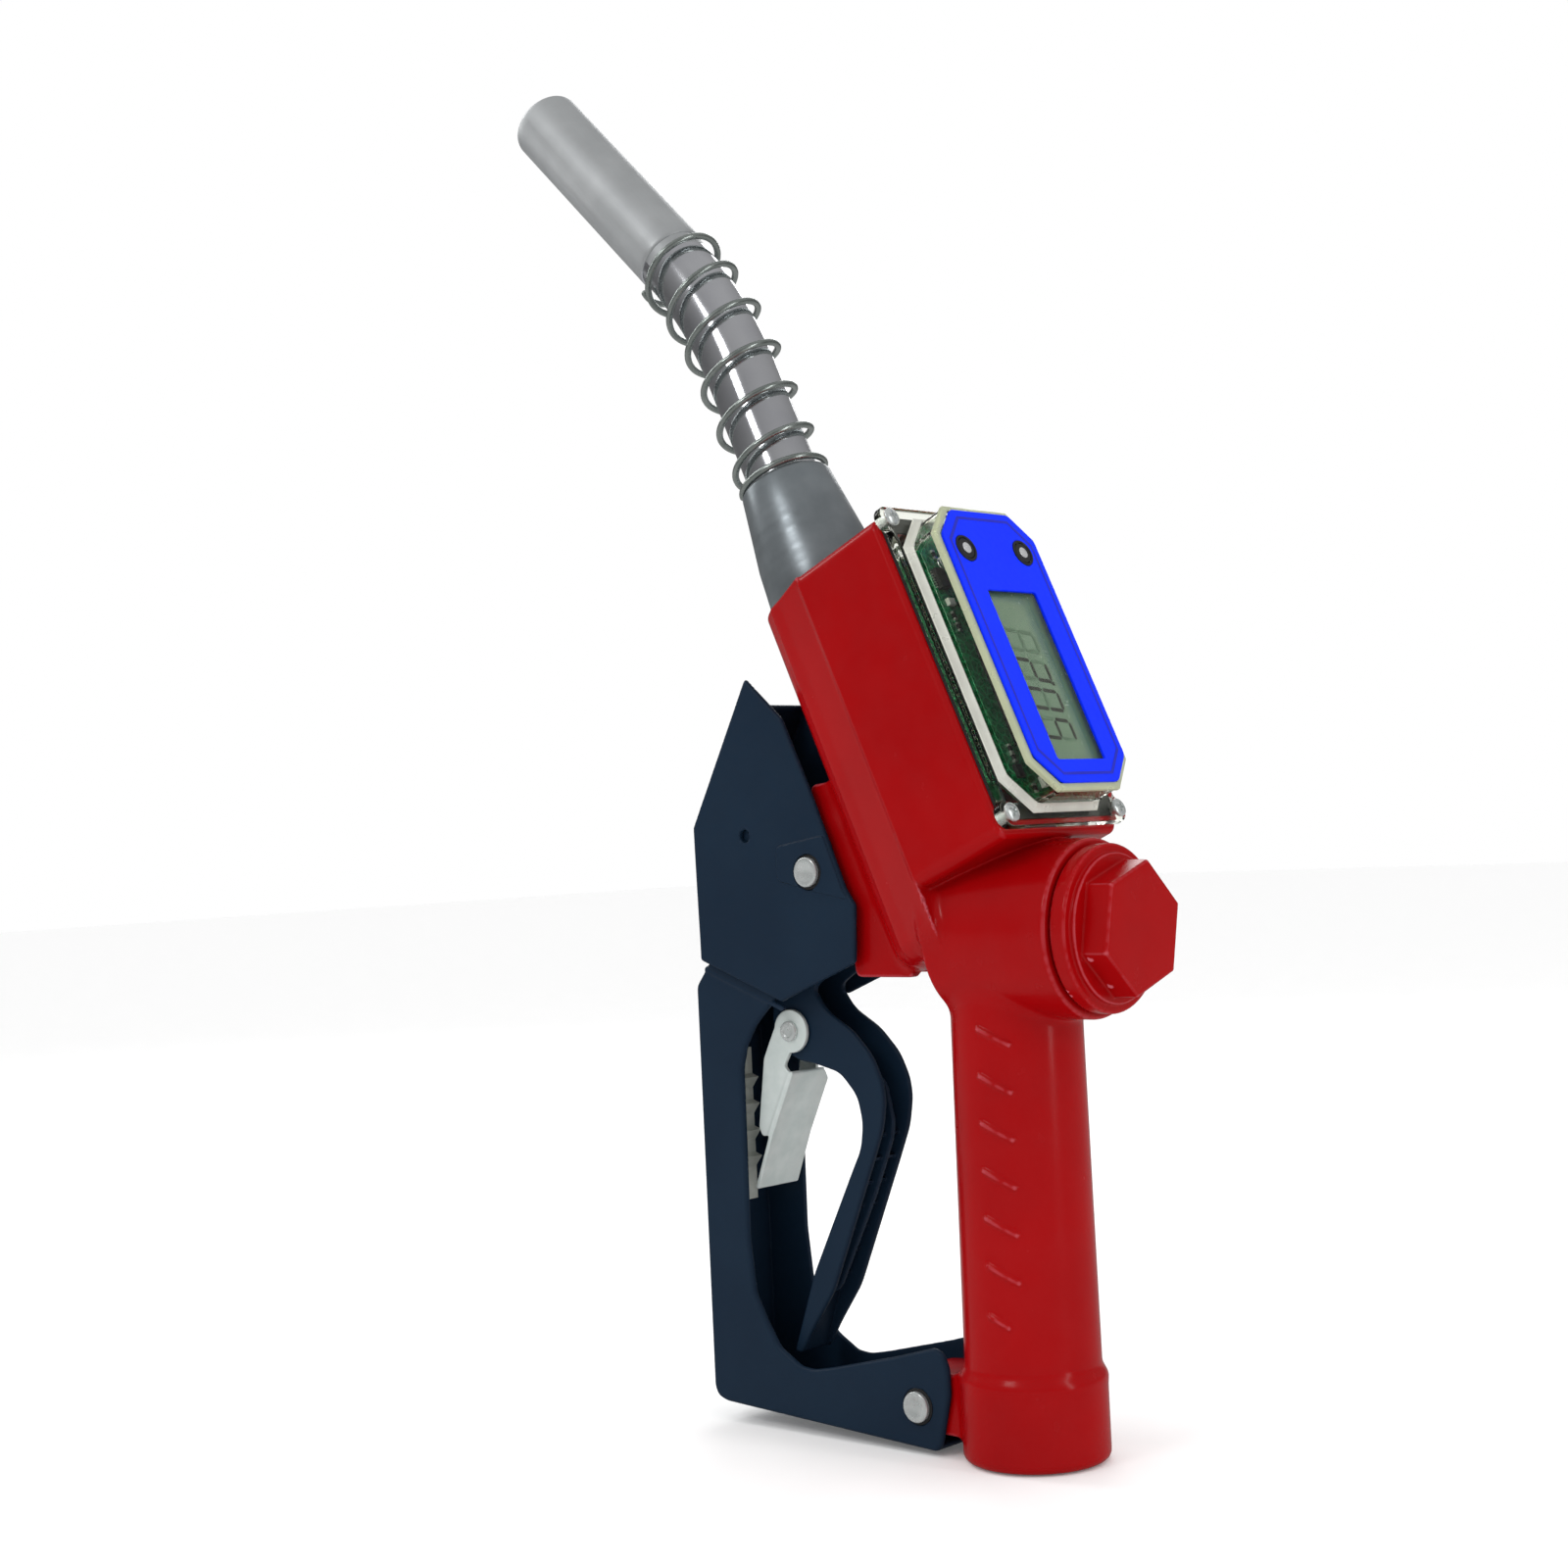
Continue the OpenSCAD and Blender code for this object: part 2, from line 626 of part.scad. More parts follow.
module vacuum_tube() color("goldenrod") on_flow() difference() {
    spout_bar(vacuum_r, vacuum_r + 0.15, 264, port_run - 2.6, vacuum_off);
    spout_bar(vacuum_r - 0.5, vacuum_r - 0.4, 263, port_run - 1.6, vacuum_off);
}

module sensing_port() color("goldenrod")
    on_tip(port_run) rotate([0, -90, 0]) translate([0, 0, 5.6]) tube(2.25, 1, 6.2);

// ---- automatic shut-off ----

// Two screws, one above and one below the plunger, between the lever's side plates
module cover_screw_places() for (s = [-1, 1])
    on_trip(cover_low - 0.1) translate([s * cover_screw_off, 0, 0]) children();

module diaphragm_cover() color("dimgray") difference() {
    intersection() {
        on_trip(cover_low) cylinder(r = cover_r, h = trip_low - cover_low - eps);
        translate([-150, -cover_half_w, 0]) cube([200, 2 * cover_half_w, 300]);
    }
    on_trip(cover_low - 1) cylinder(r = 3 + run_gap, h = 5);
    cover_screw_places() translate([0, 0, -1]) cylinder(r = 1.25, h = 5, $fn = 24);
}

module cover_screws() color("silver") cover_screw_places() {
    translate([0, 0, -1.2]) cylinder(r = 1.9, h = 1.2, $fn = 24);
    translate([0, 0, -eps]) cylinder(r = 1.15, h = 7, $fn = 24);
}

module diaphragm() color("black") on_trip(17.2) tube(8.3, 4.7, 0.8);

module roller_cage() color("goldenrod") difference() {
    on_trip(13.2) tube(6.4, 3.2, 3.9);
    for (a = [0 : 120 : 240]) on_trip(14.6) rotate([0, 0, a]) translate([3.9, 0, 0]) sphere(r = 1.3, $fn = 24);
}

module latch_rollers() color("silver") for (a = [0 : 120 : 240])
    on_trip(14.6) rotate([0, 0, a]) translate([3.9, 0, 0]) sphere(r = 1.2, $fn = 24);

module latch_plunger() color("silver") difference() {
    union() {
        on_trip(pivot_n) cylinder(r = 3, h = 10);
        on_trip(pivot_n + 9.9) cylinder(r = 2.3, h = collar_low - pivot_n - 9.8);
        on_trip(collar_low) cylinder(r = plunger_bore_r - run_gap, h = 2.5);
        cross_rod(pivot_x, pivot_z, 5, lever_in - 0.3);
    }
    cross_rod(pivot_x, pivot_z, pivot_pin_r + run_gap, 10);
}

module plunger_spring() color("silver") on_trip(17.2) coil_spring(3.6, 0.4, collar_low - 17.3, 6);

// ---- lever ----

module lever_outline() {
    polygon(concat(lever_front_path, lever_back_path));
    translate([pivot_x, pivot_z]) circle(r = 5.5);
    translate([roller_x, roller_z]) circle(r = 6);
}

module lever() color("#1e2a38") difference() {
    union() {
        both_sides() slab(lever_in, lever_out) lever_outline();
        slab(-lever_out, lever_out) polygon(concat(
            [for (i = [0 : 11]) lever_front_path[i]],
            reversed([for (i = [0 : 11]) shifted(lever_front_path, 2)[i]])));
        slab(-0.9, 0.9) polygon(concat(
            [for (i = [1 : 6]) shifted(lever_front_path, 1.5)[i]],
            reversed([for (i = [1 : 6]) shifted(lever_front_path, 6.8)[i]])));
    }
    cross_rod(pivot_x, pivot_z, pivot_pin_r + 0.01, 10);
    cross_rod(roller_x, roller_z, roller_pin_r + 0.01, 10);
    cross_rod(latch_x, latch_z, latch_pin_r + 0.01, 10);
}

module lever_pivot_pin() color("silver") cross_rod(pivot_x, pivot_z, pivot_pin_r, pin_end);

module lever_roller() color("silver") difference() {
    cross_rod(roller_x, roller_z, roller_r, lever_in - 0.3);
    cross_rod(roller_x, roller_z, roller_pin_r + run_gap, 10);
}

module roller_pin() color("silver") cross_rod(roller_x, roller_z, roller_pin_r, pin_end);

module hold_open_latch() color("silver") difference() {
    corner_cut = 5;
    union() {
        both_sides() slab(latch_in, latch_in + latch_t) {
            polygon(latch_arm_path);
            translate([latch_x, latch_z]) circle(r = latch_boss_r);
        }
        slab(-latch_in - latch_t, latch_in + latch_t)
            polygon(concat(latch_panel_path, reversed(shifted(latch_panel_path, -latch_t))));
    }
    cross_rod(latch_x, latch_z, latch_pin_r + run_gap, 12);
    // far top corner of the panel cut off
    translate([latch_panel_path[2][0], latch_in + latch_t, latch_panel_path[2][1]])
        rotate([45, 0, 0]) cube([8, corner_cut, corner_cut], center = true);
}

module latch_pin() color("silver") {
    cross_rod(latch_x, latch_z, latch_pin_r, latch_in + latch_t + 0.3);
    both_sides() translate([0, latch_in + latch_t + 0.8, 0]) cross_rod(latch_x, latch_z, 3.2, 0.6);
}

module latch_spring() color("silver") translate([latch_x, 3.2, latch_z]) rotate([90, 0, 0])
    wire(concat([[2.9, -5, 0]], coil(2.9, 6.4, 5), [[2.9, 5, 6.4]]), 0.4);

module latch_rack() color("silver") difference() {
    union() {
        slab(-6, 6) polygon([[-114.1, 67.6], [-112.6, 67.6], [-112.6, 116.7], [-114.1, 116.7]]);
        for (z = [78 : 8.5 : 104]) slab(-6, 6) polygon([[-112.7, z], [-109.9, z + 3.6], [-112.7, z + 4.6]]);
    }
    for (z = rack_z) translate([-120, 0, z]) rotate([0, 90, 0]) cylinder(r = rivet_r + 0.02, h = 10, $fn = 32);
}

module rack_rivets() color("silver") for (z = rack_z) translate([0, 0, z]) rotate([0, 90, 0]) {
    translate([0, 0, -116.9]) cylinder(r = 2.6, h = 0.5, $fn = 32);
    translate([0, 0, -116.5]) cylinder(r = rivet_r, h = 4.6, $fn = 32);
    translate([0, 0, -112.58]) cylinder(r = 2.6, h = 0.9, $fn = 32);
}

// ---- guard ----

module lever_guard() color("#1e2a38") difference() {
    union() {
        both_sides() slab(guard_in, guard_out) polygon(concat(guard_wall_path, guard_inner_path));
        slab(-guard_out, guard_out)
            polygon(concat(guard_wall_path, reversed(shifted(guard_wall_path, guard_wall + 0.2))));
    }
    cross_rod(front_pin_x, front_pin_z, guard_pin_r + run_gap, 20);
    cross_rod(rear_pin_x, rear_pin_z, guard_pin_r + run_gap, 20);
    for (z = rack_z) translate([-120, 0, z]) rotate([0, 90, 0]) cylinder(r = rivet_r + 0.02, h = 8, $fn = 32);
}

module guard_shield() color("#1e2a38") difference() {
    union() {
        both_sides() slab(shield_in, shield_out) polygon(concat(shield_wall_path, shield_edge_path));
        slab(-shield_out, shield_out)
            polygon(concat(shield_wall_path, reversed(shifted(shield_wall_path, 1.7))));
    }
    cross_rod(front_pin_x, front_pin_z, guard_pin_r + run_gap, 20);
    cross_rod(-90.3, 185.3, 2, 20);
}

module front_guard_pins() color("silver") both_sides() {
    translate([front_pin_x, -cheek_in - 0.4, front_pin_z]) rotate([90, 0, 0])
        cylinder(r = guard_pin_r, h = shield_out - cheek_in);
    translate([front_pin_x, -shield_out - 0.05, front_pin_z]) rotate([90, 0, 0])
        cylinder(r = guard_head_r, h = guard_head_t);
}

module rear_guard_pin() color("silver") {
    cross_rod(rear_pin_x, rear_pin_z, guard_pin_r, guard_out + 0.2);
    both_sides() translate([rear_pin_x, -guard_out - 0.05, rear_pin_z]) rotate([90, 0, 0])
        cylinder(r = guard_head_r, h = guard_head_t);
}

// ---- meter head ----

module screw_places(n) for (al = [screw_low, screw_high]) both_sides()
    tilted() translate([n, screw_y, al]) rotate([0, 90, 0]) children();

module flange_plan() round_rectangle(flange_low, flange_high, flange_w, 3);

module dome_plan(inset = 0) translate([face_mid, 0])
    cut_rectangle(dome_l - 2 * inset, dome_w - 2 * inset, dome_cut - 0.6 * inset);

module meter_gasket() color("black") difference() {
    raised(box_top, cover_base - eps) round_rectangle(box_low + 0.4, box_high - 0.4, box_w - 0.8, 4);
    raised(box_top - 1, cover_base + 1) round_rectangle(cavity_low, cavity_high, cavity_w, 4);
    screw_places(box_top - 1) cylinder(r = 1.6, h = 4, $fn = 24);
}

module meter_cover() color("#d8e4e0") difference() {
    union() {
        raised(cover_base, cover_base + flange_t) flange_plan();
        raised(cover_base, dome_top) dome_plan();
    }
    raised(cover_base - 1, dome_top - dome_wall) dome_plan(dome_wall);
    screw_places(cover_base - 1) cylinder(r = 1.6, h = 5, $fn = 24);
    for (y = [-button_y, button_y]) tilted() translate([dome_top - 3, y, button_al]) rotate([0, 90, 0])
        cylinder(r = button_hole_r, h = 5);
}

module meter_cover_screws() color("silver") {
    head_n = cover_base + flange_t + 0.02;
    screw_places(head_n) cylinder(r = 2.9, h = 1.9, $fn = 32);
    screw_places(head_n - 12) cylinder(r = 1.48, h = 12.2, $fn = 24);
}

module meter_faceplate() color("#0a2cff") difference() {
    raised(dome_top + 0.01, dome_top + face_t) translate([face_mid, 0]) cut_rectangle(face_l, face_w, corner_cut);
    raised(dome_top - 1, dome_top + 3) round_rectangle(window_low, window_high, window_w, 0.8);
    for (y = [-button_y, button_y]) tilted() translate([dome_top - 1, y, button_al]) rotate([0, 90, 0])
        cylinder(r = button_ring_r, h = 4);
}

module lcd_module() color("#8a9a86") raised(lcd_low, lcd_high) translate([window_low - 2.4, -lcd_w / 2])
    square([lcd_l, lcd_w]);

module circuit_board() color("#0f6a3c") raised(board_n, board_n + board_t) translate([face_mid, 0])
    cut_rectangle(board_l, board_w, board_cut);

// A low bar with pins that carry the display above the board
module pin_header() color("#15181b") {
    top = board_n + board_t;
    bar_t = 0.9;
    pin_w = 1;
    raised(top + eps, top + bar_t)
        translate([header_low, header_y]) square([pin_count * pin_pitch, header_w]);
    for (i = [0 : pin_count - 1]) raised(top + bar_t - 0.1, lcd_low - eps)
        translate([header_low + 0.9 + i * pin_pitch, header_y + 0.2]) square([pin_w, pin_w]);
}

// Chips beside the display: the corner of each one as [al, y], and its size
module board_components() color("#22262a") {
    chips = [[[234, -20.6], [8, 5.2]], [[174, -19.6], [4, 3]], [[234, 4], [5, 9]]];
    chip_t = 2.6;
    raised(board_n + board_t + eps, board_n + board_t + chip_t)
        for (chip = chips) translate(chip[0]) square(chip[1]);
}

module push_button(y) color("gainsboro") tilted() translate([0, y, button_al]) rotate([0, 90, 0]) {
    translate([0, 0, button_low]) cylinder(r = button_r - 0.9, h = 1.6);
    translate([0, 0, button_low + 1.5]) cylinder(r = button_r, h = dome_top + button_up - button_low - 1.5);
}

module reset_button() push_button(-button_y);

module total_button() push_button(button_y);

module button_springs() color("silver") for (y = [-button_y, button_y])
    tilted() translate([board_n + board_t, y, button_al]) rotate([0, 90, 0])
        coil_spring(2, 0.25, button_low - board_n - board_t - run_gap, 4);

body_casting();
valve_cap();
cap_oring();
valve_seat();
main_poppet();
poppet_seal();
poppet_spring();
valve_stem();
gland_nut();
stem_seals();
inlet_strainer();
flow_straightener_in();
flow_straightener_out();
rotor_bushes();
turbine_rotor();
rotor_shaft();
pickup_sensor();
battery_cells();
venturi_ring();
check_poppet();
check_spring();
check_guide();
spout_adapter();
spout_oring();
spout_set_screw();
spout_tube();
spout_spring();
vacuum_tube();
sensing_port();
diaphragm_cover();
cover_screws();
diaphragm();
roller_cage();
latch_rollers();
latch_plunger();
plunger_spring();
lever();
lever_pivot_pin();
lever_roller();
roller_pin();
hold_open_latch();
latch_pin();
latch_spring();
latch_rack();
rack_rivets();
lever_guard();
guard_shield();
front_guard_pins();
rear_guard_pin();
meter_gasket();
meter_cover();
meter_cover_screws();
meter_faceplate();
lcd_module();
circuit_board();
pin_header();
board_components();
reset_button();
total_button();
button_springs();
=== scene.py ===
"""Looks of the fuel nozzle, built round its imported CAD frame.

Shapes are worked out in millimetres in the object's own frame and written in metres.
Castings and mouldings are distance functions meshed by surface nets, turned parts are
lathed, and wires and tubes are swept.
"""

import json
import math

import bmesh
import bpy
import numpy as np
from mathutils import Matrix, Vector


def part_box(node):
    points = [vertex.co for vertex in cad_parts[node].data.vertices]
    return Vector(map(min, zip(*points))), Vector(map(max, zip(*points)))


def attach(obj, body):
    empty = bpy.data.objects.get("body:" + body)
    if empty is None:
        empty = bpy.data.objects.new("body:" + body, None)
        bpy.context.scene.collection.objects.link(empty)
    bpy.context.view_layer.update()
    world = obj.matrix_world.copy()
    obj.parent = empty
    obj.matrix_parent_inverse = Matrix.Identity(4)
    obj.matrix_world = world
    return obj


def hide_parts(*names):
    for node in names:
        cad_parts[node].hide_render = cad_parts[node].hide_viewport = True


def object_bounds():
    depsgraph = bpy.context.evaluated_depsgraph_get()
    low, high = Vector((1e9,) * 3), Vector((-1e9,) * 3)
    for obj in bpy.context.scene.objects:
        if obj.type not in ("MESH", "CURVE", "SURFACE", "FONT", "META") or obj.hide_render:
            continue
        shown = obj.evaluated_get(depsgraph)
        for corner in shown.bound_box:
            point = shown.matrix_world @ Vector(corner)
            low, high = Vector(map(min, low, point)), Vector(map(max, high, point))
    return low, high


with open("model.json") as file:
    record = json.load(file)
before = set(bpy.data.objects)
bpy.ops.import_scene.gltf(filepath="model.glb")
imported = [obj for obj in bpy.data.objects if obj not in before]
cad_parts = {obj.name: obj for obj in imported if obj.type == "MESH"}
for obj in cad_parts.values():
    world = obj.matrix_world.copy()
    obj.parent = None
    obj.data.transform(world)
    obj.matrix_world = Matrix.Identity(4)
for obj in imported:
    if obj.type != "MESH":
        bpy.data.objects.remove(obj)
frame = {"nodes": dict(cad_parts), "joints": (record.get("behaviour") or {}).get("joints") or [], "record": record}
CAD_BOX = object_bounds()
MM = 0.001

# ---- places, in millimetres, as in the CAD design ----

LEAN = math.radians(23.67)
COS, SIN = math.cos(LEAN), math.sin(LEAN)
ACROSS = Vector((COS, 0, SIN))
ALONG = Vector((-SIN, 0, COS))
SIDE = Vector((0, 1, 0))

VALVE_Z = 154.4
FLOW_N = 44.7
TRIP_AL = 197.5
BEND = math.radians(21)
BEND_R = 145.0
BEND_AL = 343.3
TIP_RUN = 81.5
ADAPTER_TOP = 303.5
SHOULDER = BEND_AL - ADAPTER_TOP + BEND_R * BEND  # along the spout's axis from the adapter's top
TUBE_R, TIP_R = 11.4, 12.0
COIL_TURNS, COIL_R, WIRE_R = 7, 14.08, 1.08
FACE_MID = 212.0
DOME_TOP = 106.0
BUTTON_AL = 243.4
BUTTON_Y = 13.7
FRONT_PIN = (-64.5, 173.4)
REAR_PIN = (-32.4, 13.8)
LATCH_PIN = (-81.4, 123.7)
VALVE_SLANT = math.radians(8)
RIDGE_TILT = math.radians(26.6)
RIDGE_COUNT, RIDGE_LOW, RIDGE_RISE, RIDGE_RADIUS = 7, 43.2, 81.4, 1.1
COLLAR_TOP, COLLAR_R = 26, 21.6
GRIP_R_LOW, GRIP_R_HIGH = 20.1, 19.3
CHAMBER_R = 26
INLET_R = 13.5
FLOW_R = 12.5
HOUSING_HALF = 29.3
PIN_HOLE_R, WASHER_SEAT_R = 3.2, 5.5
GUARD_OUT = 14.7
SHIELD_OUT = 16.7
COVER_SCREW_AL, COVER_SCREW_Y = 47.8, 26.2
BOARD_TOP = 97.1
LCD_LOW = 101.7
LCD_TOP = 104.0

GUARD_WALL = [(-26.3, 1.1), (-111.5, 5.9), (-115, 7.2), (-116.4, 10), (-116.4, 138), (-109.9, 146),
              (-109.9, 180)]
GUARD_INNER = [(-100, 192), (-72, 197), (-57, 182), (-56, 165), (-62, 152), (-76, 140), (-86, 131),
               (-91.5, 126), (-96, 119), (-98, 112), (-98.5, 58), (-96.8, 41.5), (-92, 32.5),
               (-87.4, 25.5), (-79, 20.5), (-73.7, 20), (-66, 21.5), (-41, 27.5), (-25.5, 31.8),
               (-22.2, 30.4), (-20.6, 26), (-20.4, 18.5), (-24.3, 3)]
SHIELD_WALL = [(-112, 146.3), (-112.8, 188.6), (-92.5, 225.5)]
SHIELD_EDGE = [(-87.6, 234.4), (-73, 221), (-62, 197), (-50, 168), (-46.5, 163), (-47.5, 145.5),
               (-78.2, 133.5)]
SHIELD_HOLE = (-90.3, 185.3)
SHIELD_PATCH = [(-77, 181.5), (-57, 184.5), (-48, 164.6), (-62, 167.3), (-77, 171)]
LEVER_FRONT = [(-87.5, 23), (-78, 48), (-60.7, 80.5), (-56.5, 88), (-55.3, 96), (-57, 104),
               (-63.5, 111), (-73.6, 113.5), (-81, 114.5), (-88, 119), (-90.5, 126), (-90, 138)]
LEVER_TOP = [(-86, 160), (-82, 181), (-73.6, 177.7), (-59.2, 154)]
LEVER_BACK = [(-55.5, 147), (-63, 143.2), (-73, 137), (-68, 130), (-57.8, 124), (-50.5, 116.5),
              (-47, 109), (-46.2, 103), (-47.8, 94), (-53, 82), (-70.5, 43), (-80, 30), (-84.5, 22.5)]
CHEEK = [(-28, 141), (-50.5, 141), (-52, 150), (-60, 160), (-71, 165), (-75, 173), (-73, 181),
         (-67, 190), (-65.5, 200), (-56, 201), (-36, 160)]
LUG = [(-12, 5.6), (-40, 6.2), (-45, 10), (-45, 17), (-40, 22.5), (-12, 25)]
LATCH_ARM = [(-88, 125), (-93.2, 115), (-96.6, 93), (-95.2, 90.2), (-92.5, 90.6), (-82.7, 110.6),
             (-84.6, 112.8), (-81.6, 117.6), (-78, 121)]
LATCH_PANEL = [(-99, 74.5), (-92.5, 90.6), (-82.7, 110.6)]
CHANNEL_FLANK = [(57, -28.9), (57, 28.9), (37.4, 21), (27.8, 7), (27.8, -7), (37.4, -21)]
GUARD_BEAD = [(-111.2, 143.3), (-79.5, 131.2)]
VALVE_BORES = ((-6, 34, 18), (14, 34, 19), (-10, -5, 16), (-28, -9, 13), (-49, -27, 3.5), (-48, -36, 6),
               (-37, -30, 5.5))  # low and high x, and radius

# ---- distance functions ----


def blend(a, b, k):
    """Union of two distances with a fillet of about k."""
    h = np.maximum(k - np.abs(a - b), 0) / k
    return np.minimum(a, b) - h * h * k / 4


def cut(a, b, k=0.8):
    """a without b, its edge eased by about k."""
    return -blend(-a, b, k)


def both(u, v, r):
    """Where u and v are both negative, with an edge of radius r between them."""
    u, v = u + r, v + r
    return np.minimum(np.maximum(u, v), 0) + np.hypot(np.maximum(u, 0), np.maximum(v, 0)) - r


def span(t, low, high):
    """Distance to the slab between low and high."""
    return np.abs(t - (low + high) / 2) - (high - low) / 2


def rod(t, rho, low, high, radius, edge=0.4):
    """Distance to a cylinder, t along its axis and rho from it."""
    return both(rho - radius, span(t, low, high), edge)


def to_path(u, v, points, closed=True):
    """Signed distance to a closed outline, or plain distance to an open path."""
    ends = points[1:] + points[:1] if closed else points[1:]
    best = np.full(u.shape, 1e12)
    inside = np.zeros(u.shape, bool)
    for (au, av), (bu, bv) in zip(points, ends):
        eu, ev = bu - au, bv - av
        t = np.clip(((u - au) * eu + (v - av) * ev) / (eu * eu + ev * ev), 0, 1)
        best = np.minimum(best, (u - au - t * eu) ** 2 + (v - av - t * ev) ** 2)
        if closed and av != bv:
            inside ^= ((av > v) != (bv > v)) & (u < au + (v - av) * eu / ev)
    best = np.sqrt(best)
    return np.where(inside, -best, best) if closed else best


def eased(points, radius, closed=True, steps=5):
    """An outline with each corner turned into a short curve."""
    made = [] if closed else [points[0]]
    count = len(points)
    for i in range(count) if closed else range(1, count - 1):
        a, b, c = (np.array(points[j % count], float) for j in (i - 1, i, i + 1))
        back, on = a - b, c - b
        reach = min(radius, 0.45 * np.hypot(*back), 0.45 * np.hypot(*on))
        start, end = b + back / np.hypot(*back) * reach, b + on / np.hypot(*on) * reach
        for t in np.linspace(0, 1, steps):
            made.append(tuple((1 - t) ** 2 * start + 2 * t * (1 - t) * b + t * t * end))
    return made if closed else made + [points[-1]]


def from_pin(x, z, pin):
    """Distance from the axis of a pin across the nozzle."""
    return np.hypot(x - pin[0], z - pin[1])


def leaned(p):
    """Coordinates across and along the meter's lean."""
    return p[:, 0] * COS + p[:, 2] * SIN, p[:, 2] * COS - p[:, 0] * SIN


# ---- surface nets ----

COARSE = 4


def sampled(f, low, count, step):
    """f on a grid, worked out finely only near its surface."""
    blocks = [np.arange(-(-int(c) // COARSE)) for c in count]
    centres = [low[i] + step * (COARSE * blocks[i] + (COARSE - 1) / 2) for i in range(3)]
    rough = f(np.stack(np.meshgrid(*centres, indexing="ij"), -1).reshape(-1, 3))
    d = rough.reshape([len(b) for b in blocks])
    for axis in range(3):
        d = np.repeat(d, COARSE, axis=axis)
    d = np.ascontiguousarray(d[: count[0], : count[1], : count[2]])
    near = np.argwhere(np.abs(d) < 4.8 * step)
    d[tuple(near.T)] = f(low + step * near)
    return d


def nets(f, low, high, step):
    """Vertices and quads of the surface f = 0 by naive surface nets."""
    low = np.array(low, float)
    count = np.ceil((np.array(high, float) - low) / step).astype(int) + 1
    d = sampled(f, low, count, step)
    inside = d < 0
    corners = [(i, j, k) for i in (0, 1) for j in (0, 1) for k in (0, 1)]

    def at(grid, offset):
        return grid[tuple(slice(o, o + c - 1) for o, c in zip(offset, count))]

    total = sum(at(inside, c).astype(np.int8) for c in corners)
    cells = np.argwhere((total > 0) & (total < 8))
    number = np.full(count - 1, -1)
    number[tuple(cells.T)] = np.arange(len(cells))
    place, hits = np.zeros((len(cells), 3)), np.zeros(len(cells))
    for a in corners:
        for axis in range(3):
            if a[axis]:
                continue
            b = tuple(1 if i == axis else a[i] for i in range(3))
            da, db = d[tuple((cells + a).T)], d[tuple((cells + b).T)]
            crossed = (da < 0) != (db < 0)
            t = np.where(crossed, da / np.where(crossed, da - db, 1), 0)
            point = np.array(a, float) + t[:, None] * (np.array(b) - np.array(a))
            place += point * crossed[:, None]
            hits += crossed
    verts = low + step * (cells + place / hits[:, None])
    quads = []
    for axis in range(3):
        u, w = (axis + 1) % 3, (axis + 2) % 3
        lower = [slice(1, c - 1) for c in count]
        upper = list(lower)
        lower[axis], upper[axis] = slice(0, count[axis] - 1), slice(1, count[axis])
        start = np.array([1 if i != axis else 0 for i in range(3)])
        a, b = inside[tuple(lower)], inside[tuple(upper)]
        for first, second, flip in ((a, b, False), (b, a, True)):
            at_edge = np.argwhere(first & ~second) + start
            eu, ew = np.eye(3, dtype=int)[u], np.eye(3, dtype=int)[w]
            ring = [number[tuple((at_edge - s).T)] for s in (eu + ew, ew, 0 * eu, eu)]
            quads.append(np.stack(ring[::-1] if flip else ring, 1))
    return verts, np.concatenate(quads)


def slope(f, p, h=0.02):
    """Unit outward direction of f at p, and its length before scaling."""
    g = np.empty_like(p)
    for i in range(3):
        step = np.zeros(3)
        step[i] = h
        g[:, i] = (f(p + step) - f(p - step)) / (2 * h)
    size = np.maximum(np.linalg.norm(g, axis=1), 1e-6)
    return g / size[:, None], size


def settled(f, p, reach, rounds=3):
    """Points moved on to the surface f = 0, each by at most reach a round."""
    for _ in range(rounds):
        direction, size = slope(f, p)
        p = p - np.clip(f(p) / np.maximum(size, 0.3), -reach, reach)[:, None] * direction
    return p


def relaxed(f, verts, edges, step, rounds=2):
    """Vertices evened out along the surface."""
    for _ in range(rounds):
        total, count = np.zeros_like(verts), np.bincount(edges.ravel(), minlength=len(verts))
        for a, b in ((0, 1), (1, 0)):
            for i in range(3):
                total[:, i] += np.bincount(edges[:, a], verts[edges[:, b], i], len(verts))
        verts = 0.5 * verts + 0.5 * total / np.maximum(count, 1)[:, None]
        verts = settled(f, verts, step / 2, 1)
    return verts


def mesh_from(name, verts, faces):
    """A mesh in metres from millimetre points."""
    mesh = bpy.data.meshes.new(name)
    mesh.from_pydata((np.asarray(verts, float) * MM).tolist(), [], [list(f) for f in faces])
    mesh.update()
    return mesh


def co_of(mesh):
    """A mesh's points in millimetres."""
    co = np.empty(len(mesh.vertices) * 3)
    mesh.vertices.foreach_get("co", co)
    return co.reshape(-1, 3) / MM


